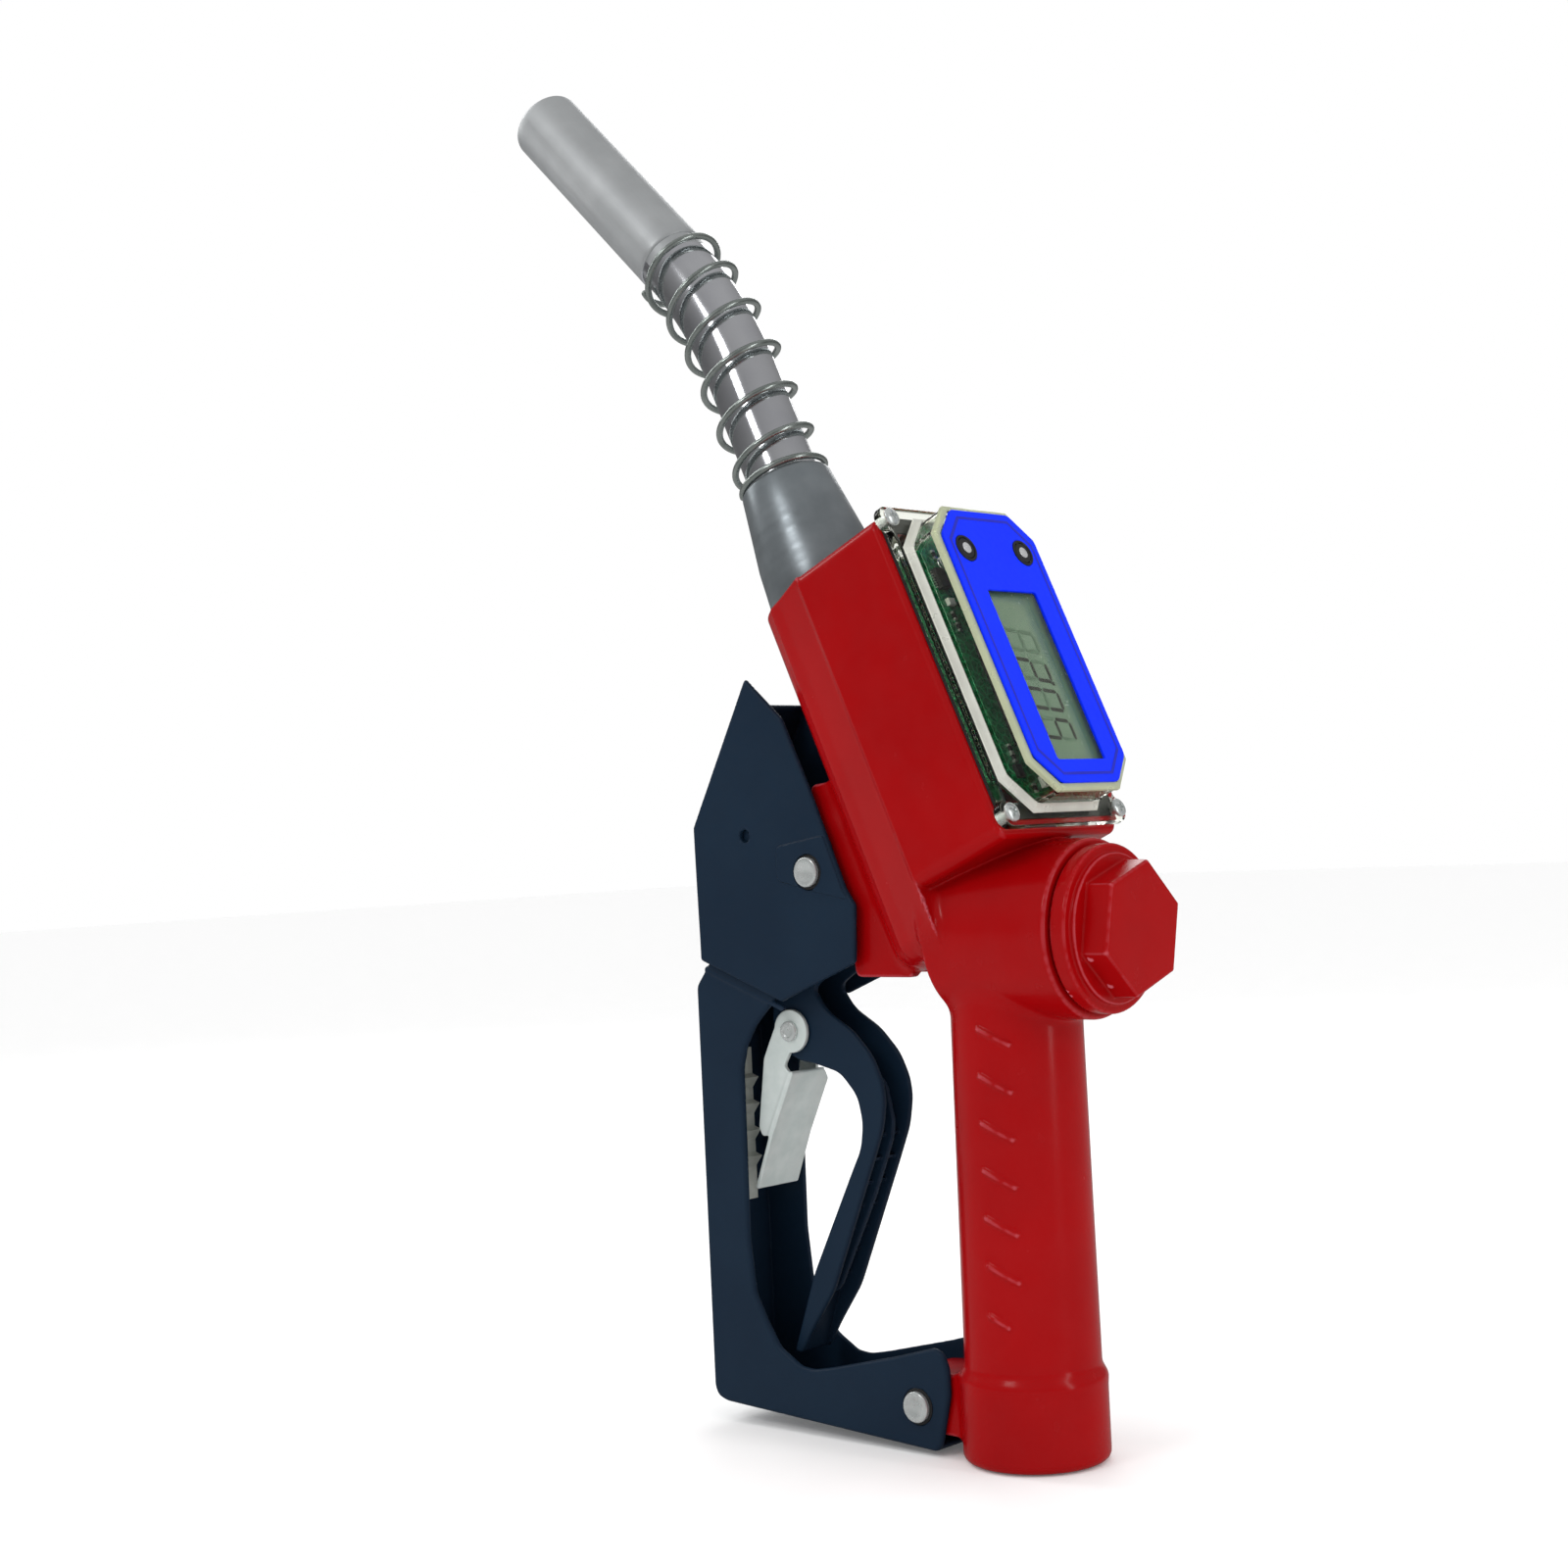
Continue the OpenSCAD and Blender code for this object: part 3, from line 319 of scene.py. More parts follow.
def shaped(name, f, low, high, step, turn=14):
    """A piece bounded by the surface f = 0. Faces that turn by more than turn degrees are split."""
    verts, quads = nets(f, low, high, step)
    mesh = mesh_from(name, verts, quads)
    edges = np.empty(len(mesh.edges) * 2, int)
    mesh.edges.foreach_get("vertices", edges)
    verts = settled(f, relaxed(f, verts, edges.reshape(-1, 2), step), step / 2)
    normals, _ = slope(f, verts)
    mesh.vertices.foreach_set("co", (verts * MM).ravel())
    corner = normals[quads]
    bent = np.minimum((corner * np.roll(corner, 1, 1)).sum(2).min(1),
                      (corner[:, :2] * corner[:, 2:]).sum(2).min(1))
    if turn:
        bm = bmesh.new()
        bm.from_mesh(mesh)
        bm.faces.ensure_lookup_table()
        marked = {e for i in np.flatnonzero(bent < math.cos(math.radians(turn)))
                  for e in bm.faces[i].edges}
        bmesh.ops.subdivide_edges(bm, edges=list(marked), cuts=1, use_grid_fill=True)
        bm.to_mesh(mesh)
        bm.free()
        verts = settled(f, co_of(mesh), step / 2)
        mesh.vertices.foreach_set("co", (verts * MM).ravel())
        normals, _ = slope(f, verts)
    mesh.update()
    mesh.shade_smooth()
    mesh.normals_split_custom_set_from_vertices(normals.tolist())
    return placed(name, mesh)


# ---- turned, swept and carried-over shapes ----


def placed(name, mesh):
    """A new object in the scene."""
    piece = bpy.data.objects.new(name, mesh)
    bpy.context.scene.collection.objects.link(piece)
    return piece


def smoothed(piece, angle=32):
    """Smooth shading with edges sharper than angle kept crisp."""
    piece.data.shade_smooth()
    piece.data.set_sharp_from_angle(angle=math.radians(angle))
    return piece


def axes_for(axis):
    """Two unit vectors square to axis."""
    axis = Vector(axis).normalized()
    u = axis.orthogonal().normalized()
    return u, axis.cross(u)


def round_points(centre, u, v, radius, sides):
    """Points on a circle about centre, in the plane of u and v."""
    return [centre + (u * math.cos(a) + v * math.sin(a)) * radius
            for a in (2 * math.pi * k / sides for k in range(sides))]


def ring_faces(rings, sides, closed=False):
    """Quads from each ring of points to the next, and from the last to the first if closed."""
    faces = []
    for i in range(rings if closed else rings - 1):
        a, b = i * sides, (i + 1) % rings * sides
        faces += [[a + k, a + (k + 1) % sides, b + (k + 1) % sides, b + k] for k in range(sides)]
    return faces


def lathe_mesh(profile, origin, axis, sides=64):
    """Points and faces of a closed (radius, height) profile turned about an axis."""
    axis, origin = Vector(axis).normalized(), Vector(origin)
    u, v = axes_for(axis)
    verts, rings = [], []
    for radius, height in profile:
        base = origin + axis * height
        if radius < 1e-6:
            rings.append([len(verts)] * sides)
            verts.append(base)
            continue
        rings.append([len(verts) + k for k in range(sides)])
        verts += round_points(base, u, v, radius, sides)
    faces = []
    for i in range(len(rings)):
        a, b = rings[i], rings[(i + 1) % len(rings)]
        for k in range(sides):
            m = (k + 1) % sides
            corners = list(dict.fromkeys([a[k], a[m], b[m], b[k]]))
            if len(corners) > 2:
                faces.append(corners)
    return verts, faces


def bar(origin, axis, radius, length):
    """Points and faces of a plain cylinder."""
    return lathe_mesh([(0, 0), (radius, 0), (radius, length), (0, length)], origin, axis, 40)


def joined(name, parts):
    """One mesh from several (points, faces) pairs, its faces turned outward."""
    verts, faces = [], []
    for points, sides in parts:
        faces += [[i + len(verts) for i in f] for f in sides]
        verts += [tuple(p) for p in points]
    mesh = mesh_from(name, verts, faces)
    bm = bmesh.new()
    bm.from_mesh(mesh)
    bmesh.ops.recalc_face_normals(bm, faces=bm.faces[:])
    bm.to_mesh(mesh)
    bm.free()
    return smoothed(placed(name, mesh))


def arc(radius, height, r, start, end, steps=5):
    """Profile points on a quarter round of radius r about (radius, height)."""
    return [(radius + r * math.cos(a), height + r * math.sin(a))
            for a in np.radians(np.linspace(start, end, steps))]


def swept(points, radius, sides=12):
    """Points and faces of a wire, its ends rounded."""
    points = [Vector(p) for p in points]
    tangents = [(points[min(i + 1, len(points) - 1)] - points[max(i - 1, 0)]).normalized()
                for i in range(len(points))]
    u = tangents[0].orthogonal().normalized()
    tips = [(0.35, 0.92), (0.75, 0.62), (0.97, 0.2)]
    head, tail = tangents[0], tangents[-1]
    stations = [(points[0] - head * radius * far, head, radius * wide) for far, wide in tips[::-1]]
    stations += [(p, t, radius) for p, t in zip(points, tangents)]
    stations += [(points[-1] + tail * radius * far, tail, radius * wide) for far, wide in tips]
    verts = []
    for p, t, r in stations:
        u = (u - t * u.dot(t)).normalized()
        verts += round_points(p, u, t.cross(u), r, sides)
    faces = ring_faces(len(stations), sides)
    faces.append(list(range(sides))[::-1])
    faces.append([(len(stations) - 1) * sides + k for k in range(sides)])
    return verts, faces


def coil_points(origin, axis, radius, height, turns, steps=40):
    """Centre line of a coil spring, its end turns closed."""
    axis, origin = Vector(axis).normalized(), Vector(origin)
    u, v = axes_for(axis)
    total = int(turns * steps)
    return [origin + axis * height * (i / total - 0.05 * math.sin(2 * math.pi * i / total))
            + (u * math.cos(a) + v * math.sin(a)) * radius
            for i in range(total + 1) for a in [2 * math.pi * i / steps]]


def refit(node, bevel=0.2, segments=2):
    """A CAD node's shape as a new piece: coplanar faces merged and sharp edges eased."""
    mesh = frame["nodes"][node].data.copy()
    mesh.name = node + "_made"
    bm = bmesh.new()
    bm.from_mesh(mesh)
    bmesh.ops.remove_doubles(bm, verts=bm.verts[:], dist=2e-6)
    bmesh.ops.dissolve_limit(bm, angle_limit=math.radians(1), verts=bm.verts[:], edges=bm.edges[:])
    sharp = [e for e in bm.edges if len(e.link_faces) == 2 and e.calc_face_angle(0) > math.radians(35)]
    if bevel:
        bmesh.ops.bevel(bm, geom=sharp, offset=bevel * MM, segments=segments, profile=0.5,
                        affect="EDGES", clamp_overlap=True)
    bmesh.ops.recalc_face_normals(bm, faces=bm.faces[:])
    bm.to_mesh(mesh)
    bm.free()
    if mesh.has_custom_normals:
        mesh.attributes.remove(mesh.attributes["custom_normal"])
    piece = smoothed(placed(node + "_piece", mesh), 40)
    return dress(piece, node)


def dress(piece, *nodes, slot=None, look=None, stands=True):
    """Gives a piece its body and its slot's material from the CAD nodes it stands for."""
    own = next(s["material_slot"] for s in frame["record"]["subparts"] if s["node"] == nodes[0])
    slot = slot or own
    piece.data.materials.clear()
    piece.data.materials.append(looks[look or slot])
    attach(piece, body_named(nodes[0]))
    if stands:
        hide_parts(*nodes)
        dressed.update(nodes)
    return piece


def body_named(node):
    """The body that a CAD node belongs to."""
    return next(b for b, members in frame["record"]["behaviour"]["bodies"].items() if node in members)


dressed = set()
looks = {}

# ---- materials ----


def wire_up(tree, kind, **values):
    """A shader node with its sockets set or linked by name."""
    node = tree.nodes.new("ShaderNode" + kind)
    for key, value in values.items():
        name = key.replace("_", " ")
        if hasattr(node, key):
            setattr(node, key, value)
        elif isinstance(value, bpy.types.NodeSocket):
            tree.links.new(value, node.inputs[name])
        else:
            node.inputs[name].default_value = value
    return node


def noise(tree, size, stretch=(1, 1, 1), turn=0.0, detail=3.0):
    """Noise whose features are about size millimetres, longer where stretch is above 1."""
    where = wire_up(tree, "TexCoord").outputs["Object"]
    turned = wire_up(tree, "Mapping", vector_type="POINT", Vector=where, Rotation=(0, turn, 0))
    scaled = wire_up(tree, "Mapping", vector_type="POINT", Vector=turned.outputs[0],
                     Scale=tuple(1 / (MM * size * s) for s in stretch))
    return wire_up(tree, "TexNoise", Vector=scaled.outputs[0], Scale=1.0, Detail=detail).outputs["Fac"]


def ranged(tree, value, low, high, to_low, to_high):
    """value carried from one interval to another."""
    node = wire_up(tree, "MapRange", Value=value)
    for name, number in zip(("From Min", "From Max", "To Min", "To Max"), (low, high, to_low, to_high)):
        node.inputs[name].default_value = number
    return node.outputs[0]


def mixed(tree, factor, first, second):
    """Colour between first and second, each a colour or a socket."""
    node = wire_up(tree, "Mix", data_type="RGBA")
    for index, value in ((0, factor), (6, first), (7, second)):
        if isinstance(value, bpy.types.NodeSocket):
            tree.links.new(value, node.inputs[index])
        else:
            node.inputs[index].default_value = value if index == 0 else (*value, 1)
    return node.outputs[2]


def material(name, colour, second=None, rough=(0.3, 0.4), metal=0.0, patch=14.0, grain=0.6, depth=0.01,
             stretch=(1, 1, 1), turn=0.0, wear_and_highlight=None, edge_mix=(0.54, 0.64, 0.6), sockets=None):
    """A surface whose colour drifts in patches, with roughness marks, fine bump and its sharp edges tinted another
    colour, which on the red enamel is a painted highlight.

    It is filed in looks under its name. patch and grain are the sizes of its marks and depth is
    their height, in millimetres, and the range of edge sharpness and the strongest edge tint come as one triple.
    """
    made = looks[name] = bpy.data.materials.new(name)
    made.use_nodes = True
    tree = made.node_tree
    shader = tree.nodes["Principled BSDF"]
    drift = ranged(tree, noise(tree, patch, detail=4), 0.35, 0.65, 0, 1)
    paint = mixed(tree, drift, colour, second or [c * 0.86 for c in colour])
    if wear_and_highlight:
        edge = wire_up(tree, "NewGeometry").outputs["Pointiness"]
        paint = mixed(tree, ranged(tree, edge, edge_mix[0], edge_mix[1], 0, edge_mix[2]), paint, wear_and_highlight)
    tree.links.new(paint, shader.inputs["Base Color"])
    fine = noise(tree, grain, stretch, turn)
    marks = noise(tree, grain * 6, stretch, turn, 5)
    tree.links.new(ranged(tree, marks, 0.3, 0.7, *rough), shader.inputs["Roughness"])
    bump = wire_up(tree, "Bump", Height=fine, Strength=1.0, Distance=depth * MM)
    tree.links.new(bump.outputs[0], shader.inputs["Normal"])
    shader.inputs["Metallic"].default_value = metal
    for socket, value in (sockets or {}).items():
        shader.inputs[socket].default_value = value
    return made


def board_material(name):
    """Green solder mask with paler tracks in straight runs."""
    made = material(name, (0.004, 0.10, 0.035), (0.006, 0.13, 0.05), (0.22, 0.32), depth=0.004)
    tree = made.node_tree
    shader = tree.nodes["Principled BSDF"]
    where = wire_up(tree, "TexCoord").outputs["Object"]
    turned = wire_up(tree, "Mapping", Vector=where, Rotation=(0, LEAN, 0), Scale=(350.0,) * 3)
    tracks = wire_up(tree, "TexVoronoi", feature="DISTANCE_TO_EDGE", Vector=turned.outputs[0], Scale=1.0)
    line = ranged(tree, tracks.outputs["Distance"], 0.05, 0.09, 1, 0)
    ground = shader.inputs["Base Color"].links[0].from_socket
    tree.links.new(mixed(tree, line, ground, (0.02, 0.25, 0.10)), shader.inputs["Base Color"])
    return made


def clear_material(name):
    """Clear plastic that lets the lamps through to what it covers."""
    made = material(name, (0.95, 0.97, 0.89), (0.93, 0.96, 0.87), (0.02, 0.05), patch=30, grain=2.0,
                    depth=0.002, sockets={"Transmission Weight": 1.0, "IOR": 1.24})
    tree = made.node_tree
    shader, out = tree.nodes["Principled BSDF"], tree.nodes["Material Output"]
    open_air = wire_up(tree, "BsdfTransparent", Color=(0.88, 0.92, 0.84, 1))
    mix = wire_up(tree, "MixShader")
    tree.links.new(wire_up(tree, "LightPath").outputs["Is Shadow Ray"], mix.inputs[0])
    tree.links.new(shader.outputs[0], mix.inputs[1])
    tree.links.new(open_air.outputs[0], mix.inputs[2])
    tree.links.new(mix.outputs[0], out.inputs["Surface"])
    return made


def make_looks():
    # Pale pink on the sharp convex edges of the red enamel is a painted highlight.
    material("red_enamel", (0.32, 0.001, 0.002), (0.28, 0.001, 0.002), (0.18, 0.28), patch=45, grain=1.6,
             depth=0.010, wear_and_highlight=(0.62, 0.15, 0.19), edge_mix=(0.525, 0.60, 0.8),
             sockets={"Coat Weight": 0.06, "Coat Roughness": 0.08, "Specular IOR Level": 0.12})
    material("guard_black", (0.007, 0.0175, 0.035), (0.008, 0.020, 0.039), (0.36, 0.48), patch=30,
             grain=0.5, depth=0.012, wear_and_highlight=(0.03, 0.05, 0.085), sockets={"Specular IOR Level": 0.1})
    material("rubber", (0.012, 0.012, 0.013), rough=(0.6, 0.75), depth=0.02)
    material("brass", (0.72, 0.46, 0.16), (0.62, 0.38, 0.12), (0.22, 0.34), 1.0, depth=0.004)
    material("steel", (0.72, 0.75, 0.74), (0.62, 0.66, 0.65), (0.20, 0.34), 0.7, patch=5, grain=0.8,
             depth=0.006)
    material("sheet_steel", (0.70, 0.76, 0.74), (0.62, 0.69, 0.67), (0.36, 0.48), 0.4, patch=6, grain=0.5,
             depth=0.008)
    material("rack_steel", (0.72, 0.76, 0.70), (0.60, 0.64, 0.58), (0.38, 0.52), 0.2, patch=6, grain=0.5,
             depth=0.01)
    material("spring_steel", (0.44, 0.48, 0.46), (0.34, 0.38, 0.36), (0.22, 0.34), 1.0, patch=6,
             grain=0.4, depth=0.004)
    material("aluminium", (0.66, 0.68, 0.69), (0.58, 0.60, 0.61), (0.44, 0.58), 0.9, patch=18, grain=0.35,
             depth=0.008, stretch=(1, 1, 30), turn=LEAN + BEND)
    material("polished", (0.78, 0.79, 0.82), (0.70, 0.71, 0.75), (0.10, 0.17), 1.0, patch=18, grain=0.6,
             depth=0.002, stretch=(1, 1, 20), turn=LEAN)
    material("dark_alloy", (0.27, 0.30, 0.32), (0.20, 0.225, 0.24), (0.28, 0.40), 0.75, patch=16,
             grain=0.4, depth=0.006, stretch=(20, 20, 1), turn=LEAN)
    material("white_plastic", (0.78, 0.78, 0.75), rough=(0.35, 0.45))
    material("black_plastic", (0.012, 0.012, 0.014), rough=(0.3, 0.42), depth=0.006)
    material("battery", (0.10, 0.13, 0.17), (0.08, 0.11, 0.15), (0.25, 0.35), 0.4)
    material("blue_face", (0.0005, 0.027, 0.98), (0.0005, 0.023, 0.90), (0.40, 0.50), patch=25,
             grain=0.35, depth=0.006, sockets={"Specular IOR Level": 0.1})
    material("blue_border", (0.001, 0.008, 0.50), rough=(0.34, 0.44), grain=0.35, depth=0.006)
    material("display", (0.09, 0.165, 0.115), (0.11, 0.185, 0.13), (0.20, 0.28), patch=30, grain=0.3,
             depth=0.001)
    material("segment", (0.006, 0.01, 0.008), rough=(0.8, 0.9), depth=0.001)
    material("ghost_segment", (0.08, 0.15, 0.103), rough=(0.7, 0.8), depth=0.001)
    material("button_silver", (0.78, 0.79, 0.80), rough=(0.2, 0.3), metal=0.6, depth=0.002)
    material("solder", (0.62, 0.63, 0.62), rough=(0.25, 0.4), metal=1.0, depth=0.01)
    clear_material("clear_cover")
    # The two pale, half clear band materials paint the highlights in the cover's thick edges.
    material("clear_edge_highlight", (0.80, 0.80, 0.72), (0.72, 0.72, 0.65), (0.25, 0.35), patch=8, grain=1.5,
             depth=0.01, sockets={"Transmission Weight": 0.25, "IOR": 1.3})
    material("clear_rim_highlight", (0.62, 0.66, 0.44), (0.55, 0.59, 0.40), (0.25, 0.35), patch=8, grain=1.5,
             depth=0.01, sockets={"Transmission Weight": 0.35, "IOR": 1.3})
    board_material("board_green")


# ---- castings ----


def casting(p):
    """The red body: grip and collar, valve chamber, flow channel, meter housing and lugs."""
    x, y, z = p.T
    n, al = leaned(p)
    side = np.abs(y)
    rho = np.hypot(x, y)
    grip_r = GRIP_R_LOW + (GRIP_R_HIGH - GRIP_R_LOW) * np.clip((z - 29) / 109, 0, 1)
    grip = blend(rod(z, rho, 0, COLLAR_TOP, COLLAR_R, 2.5), both(rho - grip_r, span(z, 23, 150), 1), 3)
    for i in range(RIDGE_COUNT):
        turn, half_length = (10, 3.2) if i == 0 else (15, 5.1)
        around = (np.arctan2(x, side) - math.radians(turn)) * grip_r
        level = z - (RIDGE_LOW + RIDGE_RISE * i / (RIDGE_COUNT - 1))
        run = around * math.cos(RIDGE_TILT) - level * math.sin(RIDGE_TILT)
        off = around * math.sin(RIDGE_TILT) + level * math.cos(RIDGE_TILT)
        past = np.maximum(np.abs(run) - half_length, 0)
        ridge = np.sqrt(past ** 2 + off ** 2 + (rho - grip_r + 0.4) ** 2) - RIDGE_RADIUS
        grip = blend(grip, ridge, 0.5)
    valve = np.hypot(y, z - VALVE_Z)
    boss = blend(rod(x, valve, -14.4, 30, CHAMBER_R, 1.2), rod(x, valve, -18, 0, CHAMBER_R - 4.5, 1.5), 1)
    shell = blend(grip, boss, 2.5)
    core = np.hypot(np.maximum(side - 7, 0), n - 42.8) - 15
    flank = to_path(n, y, CHANNEL_FLANK)
    channel = both(both(blend(core, flank, 1.5), al - 262, 1.5), 141 - al, 8)
    shell = blend(shell, channel, 3)
    plan = both(span(al, 158.5, 262), side - HOUSING_HALF, 4)
    shell = blend(shell, both(plan, span(n, 56, 91), 2.0), 1.2)
    cheeks = both(to_path(x, z, eased(CHEEK, 2)), span(side, 9, 12.5), 0.8)
    shell = blend(shell, cheeks, 3)
    shell = blend(shell, both(to_path(x, z, LUG), side - 12.4, 1), 2)
    trip = np.hypot(y, al - TRIP_AL)
    shell = blend(shell, rod(n, trip, 12.5, 34, 12.5, 0.8), 1.5)
    shell = blend(shell, rod(x, valve, -44, -20, 9.5, 0.8), 1.5)
    # passages and chambers, and the inlet's flared mouth
    slant_cos, slant_sin = math.cos(VALVE_SLANT), math.sin(VALVE_SLANT)
    lean_t = (x - 3) * slant_sin + (z - 104) * slant_cos
    lean_r = np.hypot((x - 3) * slant_cos - (z - 104) * slant_sin, y)
    flow = np.hypot(n - FLOW_N, y)
    hollow = [rod(z, rho, -9, 112, INLET_R, 2), rod(lean_t, lean_r, 0, 42, 8.5),
              rod(z, rho, -9, 18, 16.5, 0.2), rod(al, flow, 150, 268, FLOW_R),
              rod(al, flow, 247, 268, 15, 0.2), rod(n, np.hypot(y, al - 198), 60.5, 72, 4.2),
              rod(n, trip, 8, 20, 8.5, 0.2), rod(n, trip, 10, 31.5, 4.6, 0.2),
              both(both(span(al, 168, 256), side - 23, 4), span(n, 70, 96), 1),
              np.maximum((rho - 17.6 + (z + 0.2)) / math.sqrt(2), z - 3)]
    for low, high, radius in VALVE_BORES:
        hollow.append(rod(x, valve, low, high, radius, 0.2))
    return cut(shell, np.minimum.reduce(hollow), 0.7)


def cap(p):
    """The hexagonal cap on the valve chamber."""
    x, y, z = p.T
    valve = np.hypot(y, z - VALVE_Z)
    solid = rod(x, valve, 16, 33, 18.95, 0.4)
    solid = np.minimum(solid, rod(x, valve, 30.6, 35.8, 24.3, 1.0))
    solid = blend(solid, rod(x, valve, 32, 37.4, 21.6, 0.6), 0.6)
    around = np.arctan2(y, z - VALVE_Z) + math.radians(18)
    facet = np.pi / 3
    flat = valve * np.cos((around + facet / 2) % facet - facet / 2) - 34.1 / 2
    solid = blend(solid, both(flat, span(x, 34, 45.95), 1.0), 0.7)
    return cut(solid, rod(x, valve, 12, 33, 15, 1.0), 0.6)


def guard(p):
    """The lower guard: a channel, with a bead on each side below the shield."""
    x, y, z = p.T
    side = np.abs(y)
    plate = both(to_path(x, z, eased(GUARD_WALL + GUARD_INNER, 1.5)), side - GUARD_OUT, 1.3)
    wall = to_path(x, z, eased(GUARD_WALL, 3, False), False)
    solid = cut(plate, np.maximum(side - 12.7, 2.2 - wall), 0.8)
    bead = np.hypot(to_path(x, z, GUARD_BEAD, False), side - 14.3) - 0.9
    solid = blend(solid, bead, 0.8)
    for pin in (FRONT_PIN, REAR_PIN):
        solid = cut(solid, rod(side, from_pin(x, z, pin), 8, 20, PIN_HOLE_R, 0.2), 0.4)
    return cut(solid, rod(side, from_pin(x, z, REAR_PIN), 14.2, 20, WASHER_SEAT_R, 0.2), 0.3)


def shield(p):
    """The upper guard: a thinner channel with a raised patch round its pin."""
    x, y, z = p.T
    side = np.abs(y)
    plan = to_path(x, z, eased(SHIELD_WALL + SHIELD_EDGE, 0.8))
    solid = both(plan, side - SHIELD_OUT, 0.9)
    patch = np.maximum(to_path(x, z, eased(SHIELD_PATCH, 2)), plan + 0.8)
    solid = blend(solid, both(patch, side - SHIELD_OUT - 0.45, 0.3), 0.3)
    wall = to_path(x, z, SHIELD_WALL, False)
    solid = cut(solid, np.maximum(side - 14.9, 1.7 - wall), 0.6)
    pin = from_pin(x, z, FRONT_PIN)
    solid = cut(solid, rod(side, pin, 8, 20, PIN_HOLE_R, 0.2), 0.4)
    solid = cut(solid, rod(side, pin, 16.2, 20, WASHER_SEAT_R, 0.2), 0.3)
    return cut(solid, rod(side, from_pin(x, z, SHIELD_HOLE), 8, 20, 2, 0.2), 0.4)


def lever(p):
    """The squeeze lever: a channel with a webbed rib inside."""
    x, y, z = p.T
    side = np.abs(y)
    pivot = frame_joint("lever_squeeze")
    roller = frame_joint("roller_spin")
    plan = to_path(x, z, eased(LEVER_FRONT + LEVER_TOP + LEVER_BACK, 3))
    plan = np.minimum(plan, from_pin(x, z, pivot) - 5.5)
    plan = np.minimum(plan, from_pin(x, z, roller) - 6)
    wall = to_path(x, z, eased(LEVER_FRONT, 3, False), False)
    inside = np.maximum(side - 5.5, 2.0 - wall)
    solid = cut(both(plan, side - 7.5, 0.9), inside, 0.6)
    spine = to_path(x, z, LEVER_FRONT[1:7], False)
    rib = both(np.maximum(spine - 6.8, plan), side - 0.9, 0.5)
    for i in range(7):
        web_z = 47 + 7.5 * i
        web = both(np.maximum(np.maximum(spine - 4.4, plan), side - 5.6), np.abs(z - web_z) - 0.6, 0.4)
        rib = blend(rib, web, 0.5)
    return blend(solid, rib, 0.5)


def latch(p):
    """The bent sheet latch: two arms with round bosses, and a panel with one corner cut off."""
    x, y, z = p.T
    side = np.abs(y)
    arm = np.minimum(to_path(x, z, eased(LATCH_ARM, 1)), from_pin(x, z, LATCH_PIN) - 6.8)
    panel = to_path(x, z, [(u + 0.7, w - 0.3) for u, w in LATCH_PANEL], False) - 0.75
    solid = blend(both(arm, span(side, 7.9, 9.4), 0.4), both(panel, side - 9.4, 0.4), 1.2)
    corner = (np.abs(y - 9.4) + np.abs(z - 110.6) - 3.5) / math.sqrt(2)
    solid = cut(solid, np.maximum(corner, np.abs(x + 82.7) - 4), 0.2)
    return cut(solid, rod(side, from_pin(x, z, LATCH_PIN), 5, 12, 1.9, 0.1), 0.2)


def cut_plan(al, y, length, width, corner, r):
    """A rectangle along the flow with its four corners cut off."""
    a, b = np.abs(al - FACE_MID) - length / 2, np.abs(y) - width / 2
    return both(both(a, b, 0.1), (a + b + corner) / math.sqrt(2), r)


def dome(p):
    """The clear cover: a flange with screw ears, and a hollow box with its corners cut off."""
    n, al = leaned(p)
    y = p[:, 1]
    ears = np.hypot(np.abs(al - FACE_MID) - COVER_SCREW_AL, np.abs(y) - COVER_SCREW_Y) - 4.1
    length = span(al, FACE_MID - 51.8, FACE_MID + 51.8)
    plan = np.maximum(blend(both(length, np.abs(y) - 27.4, 3), ears, 1), length)
    flange = both(plan, span(n, 91.8, 94.8), 0.6)
    outer = both(cut_plan(al, y, 92.6, 48.1, 9.2, 1.5), span(n, 91.8, DOME_TOP), 1.0)
    solid = blend(flange, outer, 1.2)
    inner = both(cut_plan(al, y, 89, 44.5, 8.1, 1.2), n - (DOME_TOP - 1.8), 0.6)
    solid = cut(solid, inner, 0.4)
    for hole_y in (-BUTTON_Y, BUTTON_Y):
        solid = cut(solid, np.hypot(al - BUTTON_AL, y - hole_y) - 3.5, 0.2)
    return solid


def frame_joint(name):
    """A joint's x and z in millimetres."""
    place = next(j for j in frame["joints"] if j["name"] == name)["pos_m"]
    return place[0] / MM, place[2] / MM


def make_castings():
    """The large castings and mouldings, each with its bounds and cell size."""
    dress(shaped("casting_shell", casting, (-80, -32, -2), (34, 32, 283), 1.15), "body_casting")
    dress(shaped("cap_shell", cap, (13, -27, 126), (48, 27, 183), 0.9), "valve_cap")
    dress(shaped("guard_moulding", guard, (-119, -19, -2), (-17, 19, 200), 1.15), "lever_guard")
    dress(shaped("shield_moulding", shield, (-116, -19, 130), (-43, 19, 238), 1.1), "guard_shield")
    dress(shaped("lever_moulding", lever, (-93, -9, 20), (-43, 9, 190), 0.9), "lever")
    dress(shaped("latch_sheet", latch, (-101, -11, 72), (-72, 11, 133), 0.6), "hold_open_latch",
          look="sheet_steel")
    dress(shaped("clear_dome", dome, (-26, -32, 180), (34, 32, 283), 0.9), "meter_cover")


# ---- spout ----


def in_lean(n, y, al):
    """A point in the object's frame from its place across and along the lean."""
    return ACROSS * n + SIDE * y + ALONG * al


